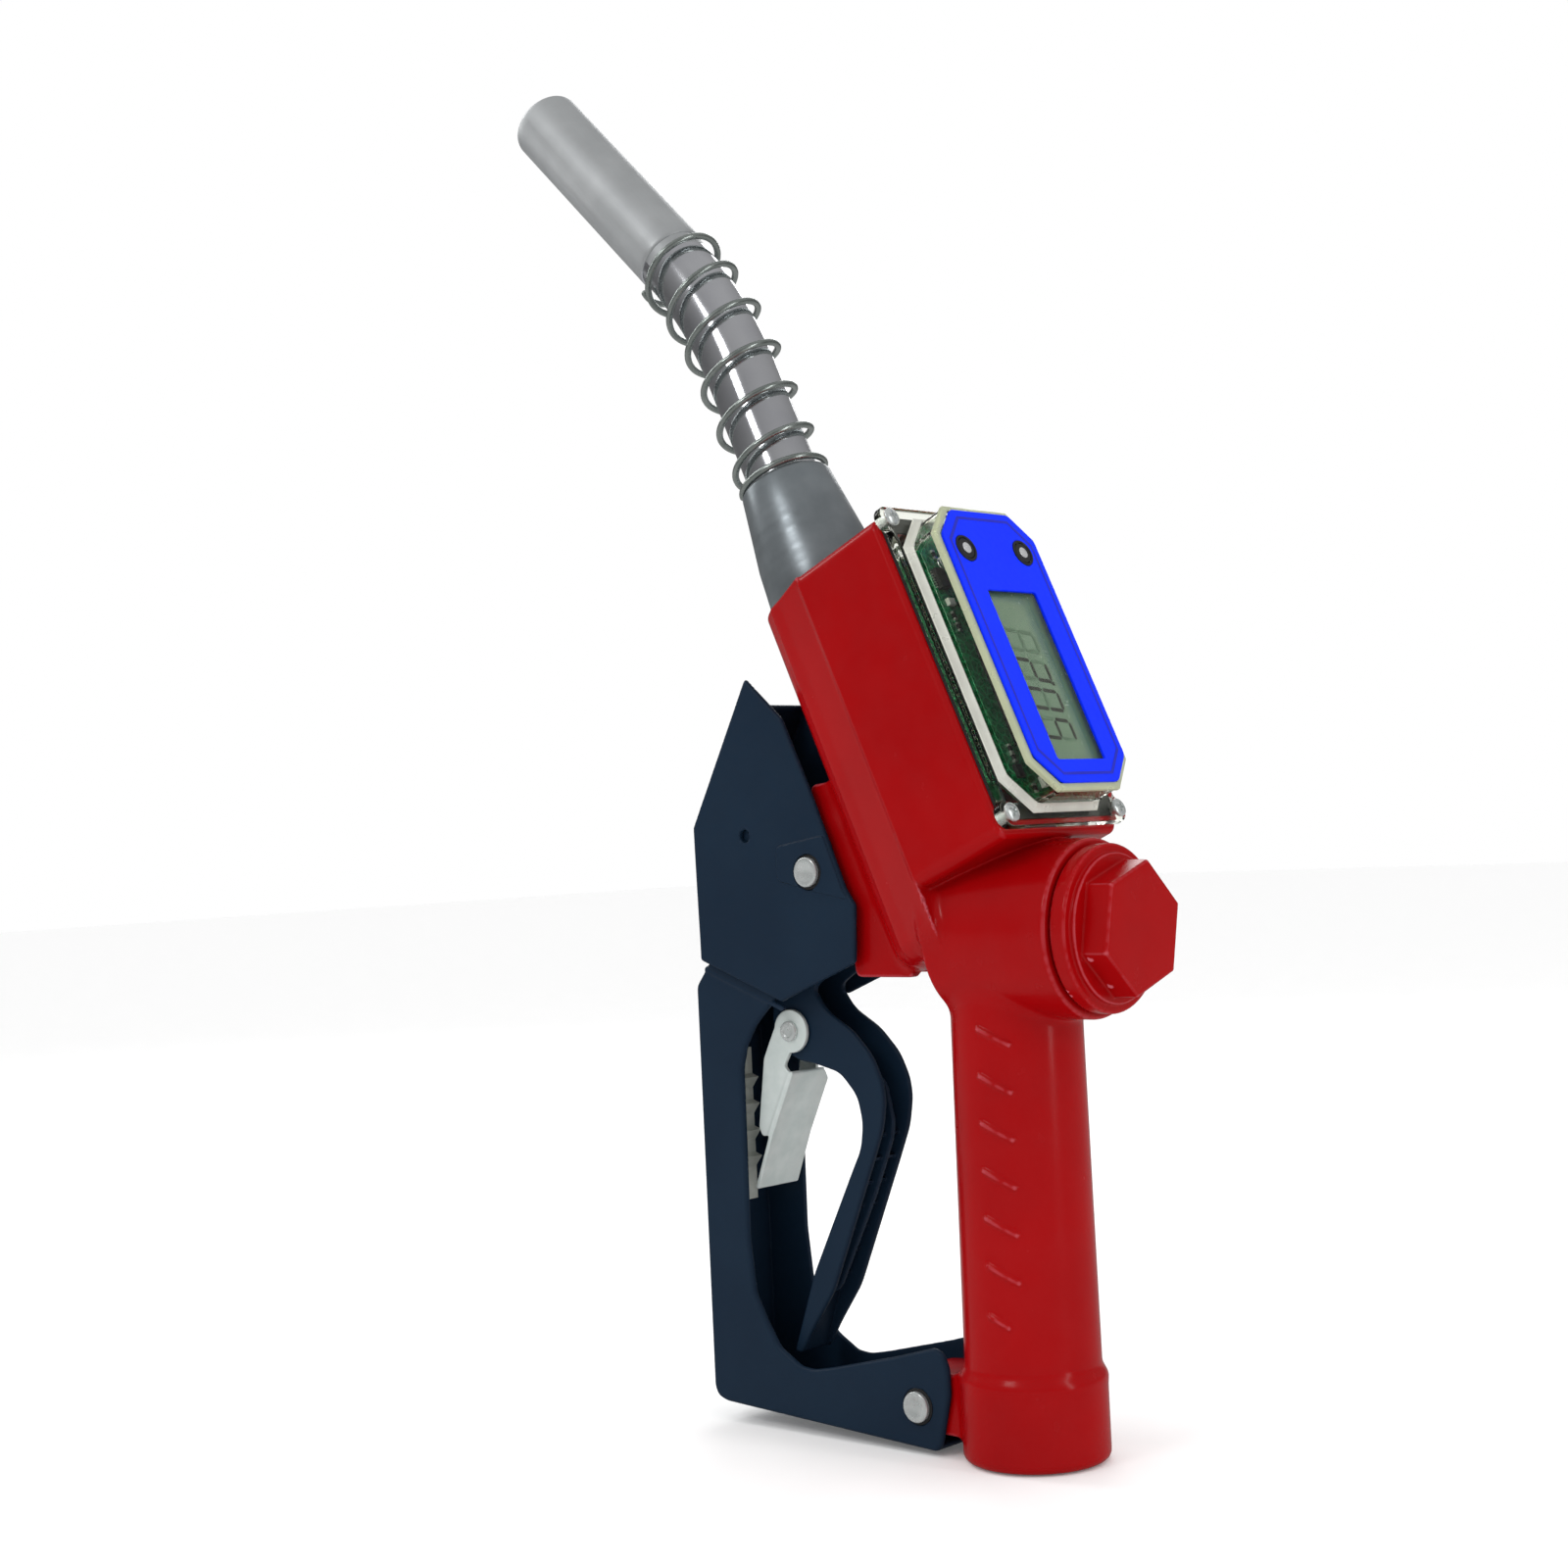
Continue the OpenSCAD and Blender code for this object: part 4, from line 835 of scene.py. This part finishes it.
def spout_line(s):
    """Point on the spout's axis s millimetres above the adapter, and the turn there."""
    straight, bent = BEND_AL - ADAPTER_TOP, BEND_R * BEND
    if s <= straight:
        return in_lean(FLOW_N, 0, ADAPTER_TOP + s), 0.0
    a = min((s - straight) / BEND_R, BEND)
    run = max(s - straight - bent, 0)
    n = FLOW_N + BEND_R * (math.cos(a) - 1) - run * math.sin(a)
    return in_lean(n, 0, BEND_AL + BEND_R * math.sin(a) + run * math.cos(a)), a


def across_spout(a):
    """Direction across the spout where it has turned by a, away from the lever."""
    return ACROSS * math.cos(a) + ALONG * math.sin(a)


def pipe(stations, sides=72):
    """Points and faces through (distance, radius) stations along the spout's axis, closed end to end."""
    verts = []
    for s, radius in stations:
        centre, a = spout_line(s)
        verts += round_points(centre, across_spout(a), SIDE, radius, sides)
    return verts, ring_faces(len(stations), sides, True)


def bored(piece, origin, axis, radius, length):
    """Drills a round hole into a piece."""
    drill = joined("drill", [bar(origin, axis, radius, length)])
    step = piece.modifiers.new("hole", "BOOLEAN")
    step.operation, step.solver, step.object = "DIFFERENCE", "EXACT", drill
    bpy.context.view_layer.update()
    cut_mesh = bpy.data.meshes.new_from_object(piece.evaluated_get(bpy.context.evaluated_depsgraph_get()))
    piece.modifiers.clear()
    piece.data = cut_mesh
    bpy.data.objects.remove(drill)
    return smoothed(piece)


def make_spout_tube():
    """The bent tube, drilled for the sensing port, with its lower stretch polished."""
    end = SHOULDER + TIP_RUN
    lower = list(np.linspace(278 - ADAPTER_TOP, SHOULDER - 0.5, 48))
    upper = list(np.linspace(SHOULDER + 1, end - 1.2, 30))
    tube_out = [(s, TUBE_R) for s in lower] + [(SHOULDER - 0.5, 11.55), (SHOULDER, 11.9)]
    tube_out += [(s, TIP_R) for s in upper] + [(end - 0.5, 11.8), (end - 0.05, 11.4)]
    tube_in = [(end - 0.02, 10.3), (end - 0.5, 9.9)] + [(s, 9.8) for s in upper[::-3]]
    tube_in += [(SHOULDER - 0.5, 9.45)] + [(s, 9.4) for s in lower[::-2]]
    tube = joined("spout_pipe", [pipe(tube_out + tube_in)])
    port, turn = spout_line(SHOULDER + 50)
    inward = -across_spout(turn)
    bored(tube, port + inward * 5, inward, 2.35, 12)
    dress(tube, "spout_tube")
    tube.data.materials.append(looks["polished"])
    polished_end = SHOULDER * math.cos(BEND / 2) - 2
    for face in tube.data.polygons:
        if ALONG.dot(face.center) / MM - ADAPTER_TOP < polished_end and face.area > 0:
            face.material_index = 1


def make_spout_coil():
    """The guard spring round the spout, its end turns closed up."""
    steps = 64
    line = []
    for i in range(COIL_TURNS * steps + 1):
        turn, a = i / steps, math.radians(216) + 2 * math.pi * i / steps
        centre, bent = spout_line(np.interp(turn, (0, 0.7, COIL_TURNS - 0.8, COIL_TURNS),
                                            (1.2, 2.8, 86.4, 88.2)))
        line.append(centre + (across_spout(bent) * math.cos(a) + SIDE * math.sin(a)) * COIL_R)
    dress(joined("spout_coil", [swept(line, WIRE_R, 14)]), "spout_spring", look="spring_steel")


def make_adapter():
    """The conical sleeve between casting and spout, with the set screw's hole."""
    cone = [(11.5, 247.3), (14.95, 247.3), (14.95, 262.05), (18.5, 262.05)]
    cone += arc(18.5, 262.55, 0.45, -90, 0, 4)
    cone += [(18.45, 270), (18.0, 278), (16.15, 292), (14.8, 302.5), (14.55, 303.1), (14.15, ADAPTER_TOP),
             (11.45, ADAPTER_TOP), (11.45, 278), (11.5, 274)]
    adapter = joined("adapter_cone", [lathe_mesh(cone, in_lean(FLOW_N, 0, 0), ALONG, 96)])
    bored(adapter, in_lean(FLOW_N - 11, 0, 292), -ACROSS, 2.05, 12)
    dress(adapter, "spout_adapter")


# ---- fasteners, thread and springs ----


def pin_head(centre, outward, radius, height):
    """A shallow dished head with rounded edges, on its shank's end."""
    profile = [(0, 0), (radius - 0.2, 0), (radius, 0.2), (radius, height - 0.55)]
    profile += arc(radius - 0.5, height - 0.5, 0.5, 0, 90)
    profile += [(radius * 0.62, height), (radius * 0.5, height - 0.28), (0, height - 0.34)]
    return lathe_mesh(profile, centre, outward, 56)


def shank(x, z, low, high, radius, side):
    """A pin's body across the nozzle, from low to high on one side."""
    return bar(Vector((x, side * low, z)), SIDE * side, radius, high - low)


def make_pins():
    """Headed pins of the guard and the latch, and dark rings under the guard's pin heads that paint the shade of
    the recesses round them.
    """
    front, rear, hinge, shade_rings = [], [], [], []
    for side in (-1, 1):
        front.append(shank(*FRONT_PIN, 9.4, 16.72, 3, side))
        for heads, (x, z), level, radius, height in ((front, FRONT_PIN, 16.75, 4.6, 1.45),
                                                     (rear, REAR_PIN, 14.75, 4.6, 1.45),
                                                     (hinge, LATCH_PIN, 9.5, 3.2, 1.2)):
            heads.append(pin_head(Vector((x, side * level, z)), SIDE * side, radius, height))
        # Dark rings in the recesses under the front and rear pin heads: painted shade.
        for (x, z), level in ((FRONT_PIN, 16.25), (REAR_PIN, 14.25)):
            ring = [(3.05, 0), (5.4, 0), (5.4, 0.35), (5.25, 0.48), (3.05, 0.48)]
            shade_rings.append(lathe_mesh(ring, Vector((x, side * level, z)), SIDE * side, 56))
    rear.append(shank(*REAR_PIN, -14.9, 14.9, 3, 1))
    hinge.append(shank(*LATCH_PIN, -9.7, 9.7, 1.8, 1))
    dress(joined("front_pins", front), "front_guard_pins")
    dress(joined("rear_pin", rear), "rear_guard_pin")
    dress(joined("hinge_pin", hinge), "latch_pin")
    dress(joined("pin_shade_rings", shade_rings), "front_guard_pins", slot="rubber", stands=False)


def screw(p):
    """Pan head with a cross recess, about the z axis, its seat at z = 0."""
    x, y, z = p.T
    rho = np.hypot(x, y)
    head = both(both(rho - 2.9, span(z, 0, 1.9), 0.3), np.sqrt(rho ** 2 + (z + 3.2) ** 2) - 5.05, 0.2)
    solid = blend(head, rod(z, rho, -11.8, 1, 1.48, 0.3), 0.2)
    far, near = np.maximum(np.abs(x), np.abs(y)), np.minimum(np.abs(x), np.abs(y))
    cross = np.maximum(near - 0.38, far - 1.65)
    return cut(solid, np.maximum(cross + np.maximum(0, 1.2 - z) * 0.6, 0.7 - z), 0.12)


def make_cover_screws():
    """Four copies of one screw, each turned differently."""
    one = shaped("screw_pattern", screw, (-3.4, -3.4, -12.3), (3.4, 3.4, 2.4), 0.3, 0)
    verts, faces = co_of(one.data), [list(f.vertices) for f in one.data.polygons]
    parts = []
    for i, (end, side) in enumerate(((-1, -1), (-1, 1), (1, -1), (1, 1))):
        spin = Matrix.Rotation(0.5 + 1.3 * i, 3, "Z")
        turn = Matrix((ALONG, SIDE, ACROSS)).transposed() @ spin
        origin = in_lean(94.83, side * COVER_SCREW_Y, FACE_MID + end * COVER_SCREW_AL)
        parts.append(([origin + turn @ Vector(v) for v in verts], faces))
    bpy.data.objects.remove(one)
    dress(joined("cover_screw_set", parts), "meter_cover_screws")


def make_thread():
    """Thread standing in from the wall of the inlet's bore, fading out at both ends."""
    pitch, turns, steps = 2.3, 6.6, 72
    root, depth = 16.7, 1.5
    verts = []
    total = int(turns * steps)
    for i in range(total + 1):
        a, z = 2 * math.pi * i / steps, 1.9 + pitch * i / steps
        crest = root - depth * min(1, i / steps, (total - i) / steps)
        for radius, lift in ((root, -1.05), (crest, -0.15), (crest, 0.15), (root, 1.05)):
            verts.append((radius * math.cos(a), radius * math.sin(a), z + lift))
    faces = ring_faces(total + 1, 4) + [[0, 1, 2, 3], [4 * total + k for k in (3, 2, 1, 0)]]
    thread = joined("inlet_thread", [(verts, faces)])
    dress(thread, "body_casting", slot="aluminium", stands=False)


def make_springs():
    """Coil springs inside the nozzle, and the latch's torsion spring."""
    def spring(name, node, places, radius, wire, height, turns):
        lines = [coil_points(Vector(foot) + Vector(axis) * wire, axis, radius, height - 2 * wire, turns)
                 for foot, axis in places]
        dress(joined(name, [swept(line, wire, 10) for line in lines]), node, look="steel")

    spring("poppet_coil", "poppet_spring", [((-0.3, 0, VALVE_Z), (1, 0, 0))], 9, 0.9, 32.6, 6)
    spring("check_coil", "check_spring", [(in_lean(FLOW_N, 0, 242.8), ALONG)], 5, 0.5, 15, 5)
    spring("plunger_coil", "plunger_spring", [(in_lean(17.2, 0, TRIP_AL), ACROSS)], 3.6, 0.4, 9.7, 6)
    spring("button_coils", "button_springs",
           [(in_lean(BOARD_TOP, y, BUTTON_AL), ACROSS) for y in (-BUTTON_Y, BUTTON_Y)], 2, 0.25, 4.4, 4)
    centre = Vector((LATCH_PIN[0], 3.2, LATCH_PIN[1]))
    radius, length, leg, steps, total = 2.9, 6.4, 5, 40, 200
    line = [centre + Vector((radius, 0, -leg))]
    line += [centre + Vector((radius * math.cos(a), -length * i / total, radius * math.sin(a)))
             for i in range(total + 1) for a in [2 * math.pi * i / steps]]
    line += [centre + Vector((radius, -length, leg))]
    dress(joined("latch_coil", [swept(line, 0.4, 10)]), "latch_spring")


# ---- meter head ----


def slab(n_low, n_high, corners, bevel=0.0):
    """Points and faces of a flat piece on the meter face; corners are (al, y)."""
    count = len(corners)
    levels = [(n_low, 0.0), (n_high - bevel, 0.0)] + ([(n_high, bevel)] if bevel else [])
    middle = np.mean(corners, axis=0)
    verts = []
    for n, inset in levels:
        for al, y in corners:
            toward = np.array([al, y]) - middle
            toward -= np.sign(toward) * np.minimum(inset, np.abs(toward))
            verts.append(in_lean(n, middle[1] + toward[1], middle[0] + toward[0]))
    ends = [list(range(count))[::-1], [(len(levels) - 1) * count + k for k in range(count)]]
    return verts, ends + ring_faces(len(levels), count)


def block(n_low, n_high, al, y, length, width, bevel=0.12):
    """A rectangular slab centred at (al, y)."""
    corners = [(al - length / 2, y - width / 2), (al + length / 2, y - width / 2),
               (al + length / 2, y + width / 2), (al - length / 2, y + width / 2)]
    return slab(n_low, n_high, corners, bevel)


SEGMENTS = {"a": (0.5, 1, 0), "b": (1, 0.75, 1), "c": (1, 0.25, 1), "d": (0.5, 0, 0), "e": (0, 0.25, 1),
            "f": (0, 0.75, 1), "g": (0.5, 0.5, 0)}
DIGITS = {"0": "abcdef", "2": "abged", "5": "afgcd"}
DIGIT_W, DIGIT_H, STROKE = 6.2, 13.4, 1.25


def segment(low_al, mid_y, level, name):
    """One bar of a seven-segment digit that reads up the nozzle."""
    u, v, upright = SEGMENTS[name]
    half = (DIGIT_H / 4 if upright else DIGIT_W / 2) - 0.25
    outline = [(-half, 0), (-half + STROKE / 2, STROKE / 2), (half - STROKE / 2, STROKE / 2), (half, 0),
               (half - STROKE / 2, -STROKE / 2), (-half + STROKE / 2, -STROKE / 2)]
    centre_u, centre_v = u * DIGIT_W, (v - 0.5) * DIGIT_H
    corners = []
    for along, off in outline:
        du, dv = (off, along) if upright else (along, off)
        slant = 0.10 * (centre_v + dv)
        corners.append((low_al + centre_u + du + slant, mid_y - centre_v - dv))
    return slab(level, level + 0.06, corners)


def make_display():
    """Lit digits, the unlit segments beside them and the dark bezel."""
    lit, ghost = [], []
    for i, figure in enumerate("502 "):
        low_al = 182.4 + 9.6 * i
        for name in SEGMENTS:
            on = figure != " " and name in DIGITS[figure]
            (lit if on else ghost).append(segment(low_al, -2.2, LCD_TOP + (0.01 if on else 0), name))
    lit.append(block(LCD_TOP + 0.01, LCD_TOP + 0.07, 200.3, 4.6, 1.3, 1.3, 0))
    dress(joined("display_digits", lit), "lcd_module", look="segment", stands=False)
    dress(joined("display_unlit", ghost), "lcd_module", look="ghost_segment", stands=False)
    middle, rim = 202.3, LCD_TOP + 0.1
    frame_parts = [block(LCD_LOW, rim, middle + s * 30.6, 0, 1.2, 30, 0.2) for s in (-1, 1)]
    frame_parts += [block(LCD_LOW, rim, middle, s * 14.7, 60, 1.0, 0.2) for s in (-1, 1)]
    dress(joined("display_bezel", frame_parts), "lcd_module", slot="black_plastic", stands=False)
    refit("lcd_module", 0.2)


def plate(p):
    """The printed face with its window and button holes."""
    n, al = leaned(p)
    y = p[:, 1]
    solid = both(cut_plan(al, y, 89, 44.5, 8.5, 1.0), span(n, DOME_TOP + 0.01, DOME_TOP + 1), 0.25)
    window = both(span(al, 174.8, 229.8), np.abs(y) - 11.7, 0.8)
    solid = cut(solid, window, 0.25)
    for hole_y in (-BUTTON_Y, BUTTON_Y):
        solid = cut(solid, np.hypot(al - BUTTON_AL, y - hole_y) - 4.3, 0.25)
    return solid


def make_face():
    """The blue face and the darker line round it."""
    low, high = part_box("meter_faceplate")
    margin = Vector((1, 1, 1))
    dress(shaped("printed_face", plate, low / MM - margin, high / MM + margin, 0.55), "meter_faceplate")
    outer, inner = octagon(42.2, 20.0, 7.8), octagon(41.3, 19.1, 7.5)
    top = DOME_TOP + 1.05
    loop_piece("face_border", ((top - 0.35, outer), (top, outer), (top, inner), (top - 0.35, inner)),
               "meter_faceplate", "blue_border")


def octagon(half_l, half_w, corner, out=0.0):
    """Corners of a rectangle about the face's middle with its corners cut, moved outward by out."""
    a, b, c = half_l + out, half_w + out, corner + 0.586 * out
    return [(FACE_MID + u, v) for u, v in ((a, c - b), (a, b - c), (a - c, b), (c - a, b), (-a, b - c),
                                           (-a, c - b), (c - a, -b), (a - c, -b))]


def loop_piece(name, levels, node, look):
    """A closed band through (height, outline) levels, each outline with eight corners."""
    verts = [in_lean(n, y, al) for n, outline in levels for al, y in outline]
    dress(joined(name, [(verts, ring_faces(len(levels), 8, True))]), node, look=look, stands=False)


def band(name, levels, look):
    """A closed band round the clear dome through (height, outset) levels."""
    loop_piece(name, [(n, octagon(46.3, 24.05, 9.2, out)) for n, out in levels], "meter_cover", look)


def make_bands():
    """Pale bands that paint the highlights gathered in the moulding's thick edges: its foot and its upper rim."""
    band("dome_foot", ((94.82, 1.9), (95.2, 1.7), (95.5, 0.9), (96.1, 0.35), (97.0, 0.04), (97.0, -0.3),
                       (94.82, -0.3)), "clear_edge_highlight")
    band("dome_rim", ((104.3, 0.04), (105.4, 0.04), (106.03, -0.6), (106.03, -1.9), (105.7, -1.9),
                      (104.3, -0.3)), "clear_rim_highlight")


def make_buttons():
    """Two black buttons with silver crowns, and the rings they stand in."""
    for node, y in (("reset_button", -BUTTON_Y), ("total_button", BUTTON_Y)):
        foot = in_lean(0, y, BUTTON_AL)
        profile = [(0, 101.6), (2.4, 101.6), (2.5, 101.7), (2.5, 103.1), (3.3, 103.1), (3.4, 103.2)]
        profile += [(3.4, 106.7)] + arc(2.9, 106.7, 0.5, 0, 60, 4) + [(2.4, 107.15), (0, 107.2)]
        dress(joined(node + "_cap", [lathe_mesh(profile, foot, ACROSS, 56)]), node, look="black_plastic")
        crown = [(0, 107.0), (1.75, 107.0), (1.75, 107.3), (1.6, 107.38), (0, 107.4)]
        dress(joined(node + "_crown", [lathe_mesh(crown, foot, ACROSS, 40)]), node, stands=False)
    rings = []
    for y in (-BUTTON_Y, BUTTON_Y):
        ring = [(3.5, 106.02), (4.28, 106.02), (4.28, 107.05), (4.1, 107.3), (3.75, 107.3), (3.52, 107.1)]
        rings.append(lathe_mesh(ring, in_lean(0, y, BUTTON_AL), ACROSS, 56))
    dress(joined("button_rings", rings), "meter_faceplate", slot="black_plastic", stands=False)


def make_board():
    """The circuit board and what is soldered to it."""
    refit("circuit_board", 0.1, 1)
    top = BOARD_TOP
    skirt = slab(92.0, top - 0.3, octagon(43.9, 21.9, 8.0))
    dress(joined("board_skirt", [skirt]), "circuit_board", stands=False)
    chips = [block(top, top + 1.9, 238, -18, 6.4, 4.2), block(top, top + 1.2, 176, -18.1, 3.8, 2.8),
             block(top, top + 2.4, 236.5, 8.5, 4.8, 8.8)]
    dress(joined("chip_bodies", chips), "board_components")
    legs = [block(top, top + 0.5, 235.5 + 0.82 * i, y, 0.4, 1.0, 0.05)
            for i in range(7) for y in (-20.4, -15.6)]
    passives = ((170.8, -13.5), (180.2, -17.6), (183.0, -17.6), (222.4, -18.2), (226.0, -18.2), (246.5, -16))
    for al, y in passives:
        legs += [block(top, top + 0.75, al + end, y, 0.7, 1.3, 0.06) for end in (-1.1, 1.1)]
    dress(joined("solder_ends", legs), "board_components", slot="steel", look="solder", stands=False)
    header = [block(top, top + 0.9, 200.5, -13.5, 33, 1.4, 0.15)]
    header += [block(top + 0.8, LCD_LOW - 0.02, 185.4 + 2.75 * i, -13.5, 0.7, 0.7, 0.05) for i in range(12)]
    dress(joined("display_header", header), "pin_header")
    resistors = [block(top, top + 0.7, al, y, 1.6, 1.25, 0.08) for al, y in passives]
    dress(joined("chip_resistors", resistors), "board_components", stands=False)
    caps = [block(top, top + 1.6, 172.5, -8.5, 3.4, 2.6, 0.3),
            block(top, top + 1.3, 230.5, -17.5, 2.2, 3.0, 0.2)]
    dress(joined("chip_capacitors", caps), "board_components", slot="white_plastic", stands=False)


def make_gasket():
    """A flat ring of four strips under the cover."""
    ring = [block(91.03, 91.77, FACE_MID, s * 25.35, 98, 3.9, 0) for s in (-1, 1)]
    ring += [block(91.03, 91.77, FACE_MID + s * 46.5, 0, 5, 46.8, 0) for s in (-1, 1)]
    dress(joined("seal_ring", ring), "meter_gasket")


# ---- studio ----


CAMERA_PLACE = Vector((0.43378, -0.57819, 0.18602))
CAMERA_TURN = (42.04, -1.12, -2.65)  # azimuth, elevation and roll, in degrees
LAMPS = {"key": ((-0.15, -1.1, 0.95), (0.35, 0.3), 2.4), "left": ((-1.0, -0.2, 0.9), (0.2, 0.8), 2.4),
         "right": ((1.15, 0.1, 0.5), (0.15, 1.0), 2.4), "back": ((-0.8, 1.0, 0.9), (0.6, 0.5), 3)}


def make_camera():
    """The photograph's view."""
    azimuth, elevation, roll = (math.radians(a) for a in CAMERA_TURN)
    forward = Vector((-math.sin(azimuth) * math.cos(elevation), math.cos(azimuth) * math.cos(elevation),
                      -math.sin(elevation)))
    right = Vector((math.cos(azimuth), math.sin(azimuth), 0))
    up = right.cross(forward)
    tilted_right = right * math.cos(roll) + up * math.sin(roll)
    tilted_up = up * math.cos(roll) - right * math.sin(roll)
    data = bpy.data.cameras.new("camera")
    data.lens, data.sensor_width = 56.25, 36.0
    data.clip_start, data.clip_end = 0.05, 60
    camera = bpy.data.objects.new("camera", data)
    bpy.context.scene.collection.objects.link(camera)
    turn = Matrix((tilted_right, tilted_up, -forward)).transposed().to_4x4()
    camera.matrix_world = Matrix.Translation(CAMERA_PLACE) @ turn
    bpy.context.scene.camera = camera


def add_light(name, place, size, power, aim):
    """A soft rectangular lamp that faces aim."""
    data = bpy.data.lights.new(name, "AREA")
    data.shape, data.size, data.size_y, data.energy = "RECTANGLE", size[0], size[1], power
    light = bpy.data.objects.new(name, data)
    bpy.context.scene.collection.objects.link(light)
    light.location = place
    light.rotation_euler = (Vector(aim) - Vector(place)).to_track_quat("-Z", "Y").to_euler()


def make_world():
    """White where it is seen, soft on surfaces, and darker in reflections with a bright upper half."""
    world = bpy.data.worlds.new("studio")
    bpy.context.scene.world = world
    world.use_nodes = True
    tree = world.node_tree
    path = wire_up(tree, "LightPath")
    height = wire_up(tree, "SeparateXYZ", Vector=wire_up(tree, "TexCoord").outputs["Generated"])
    mirrored = ranged(tree, height.outputs["Z"], -0.1, 0.9, 0.09, 0.4)
    dimmed = wire_up(tree, "Mix")
    tree.links.new(path.outputs["Is Glossy Ray"], dimmed.inputs[0])
    dimmed.inputs[2].default_value = 1.0
    tree.links.new(mirrored, dimmed.inputs[3])
    plain = wire_up(tree, "Math", operation="MAXIMUM")
    tree.links.new(path.outputs["Is Camera Ray"], plain.inputs[0])
    tree.links.new(path.outputs["Is Transmission Ray"], plain.inputs[1])
    seen = wire_up(tree, "Mix")
    tree.links.new(plain.outputs[0], seen.inputs[0])
    tree.links.new(dimmed.outputs[0], seen.inputs[2])
    seen.inputs[3].default_value = 1.0
    background = tree.nodes["Background"]
    background.inputs["Color"].default_value = (1, 1, 1, 1)
    tree.links.new(seen.outputs[0], background.inputs["Strength"])


def make_studio():
    """Pale floor, white world and four lamps."""
    low, high = CAD_BOX
    middle = (low + high) / 2
    mesh = bpy.data.meshes.new("floor")
    reach, level = 6.0, low.z - 0.0004
    corners = [(u * reach, v * reach, level) for u, v in ((-1, -1), (1, -1), (1, 1), (-1, 1))]
    mesh.from_pydata(corners, [], [(0, 1, 2, 3)])
    floor = placed("floor", mesh)
    paint = material("pale_floor", (0.95, 0.95, 0.95), (0.94, 0.94, 0.94), (0.6, 0.7), grain=6,
                     depth=0.02, sockets={"Specular IOR Level": 0.1, "Emission Color": (1, 1, 1, 1),
                                          "Emission Strength": 0.08})
    tree = paint.node_tree
    shader = tree.nodes["Principled BSDF"]
    colour = shader.inputs["Base Color"].links[0].from_socket
    mirrored = wire_up(tree, "LightPath").outputs["Is Glossy Ray"]
    tree.links.new(mixed(tree, mirrored, colour, (0.25, 0.25, 0.25)), shader.inputs["Base Color"])
    mesh.materials.append(paint)
    make_world()
    for name, (place, size, power) in LAMPS.items():
        add_light(name, place, size, power, middle)
    bpy.context.scene.view_settings.view_transform = "Standard"


# ---- CAD nodes that keep their shape ----

EASED_NODES = {"gland_nut": 0.15, "latch_rack": 0.3, "rack_rivets": 0.2, "diaphragm_cover": 0.3,
               "cover_screws": 0.15, "lever_roller": 0.3, "lever_pivot_pin": 0.25, "roller_pin": 0.2,
               "valve_stem": 0.4, "latch_plunger": 0.3, "spout_set_screw": 0.1, "battery_cells": 0.4,
               "inlet_strainer": 0.15}


def finish_nodes():
    """Eases the edges of plain nodes, and gives every node left over its material."""
    for node, ease in EASED_NODES.items():
        refit(node, ease)
    for node in ("latch_rack", "rack_rivets"):
        bpy.data.objects[node + "_piece"].data.materials[0] = looks["rack_steel"]
    for subpart in frame["record"]["subparts"]:
        name = subpart["node"]
        if name not in dressed:
            own = frame["nodes"][name]
            own.data.materials.clear()
            own.data.materials.append(looks[subpart["material_slot"]])


for make in (make_looks, make_castings, make_spout_tube, make_spout_coil, make_adapter, make_pins,
             make_cover_screws, make_thread, make_springs, make_display, make_face, make_buttons, make_board,
             make_gasket, make_bands, finish_nodes, make_camera, make_studio):
    make()
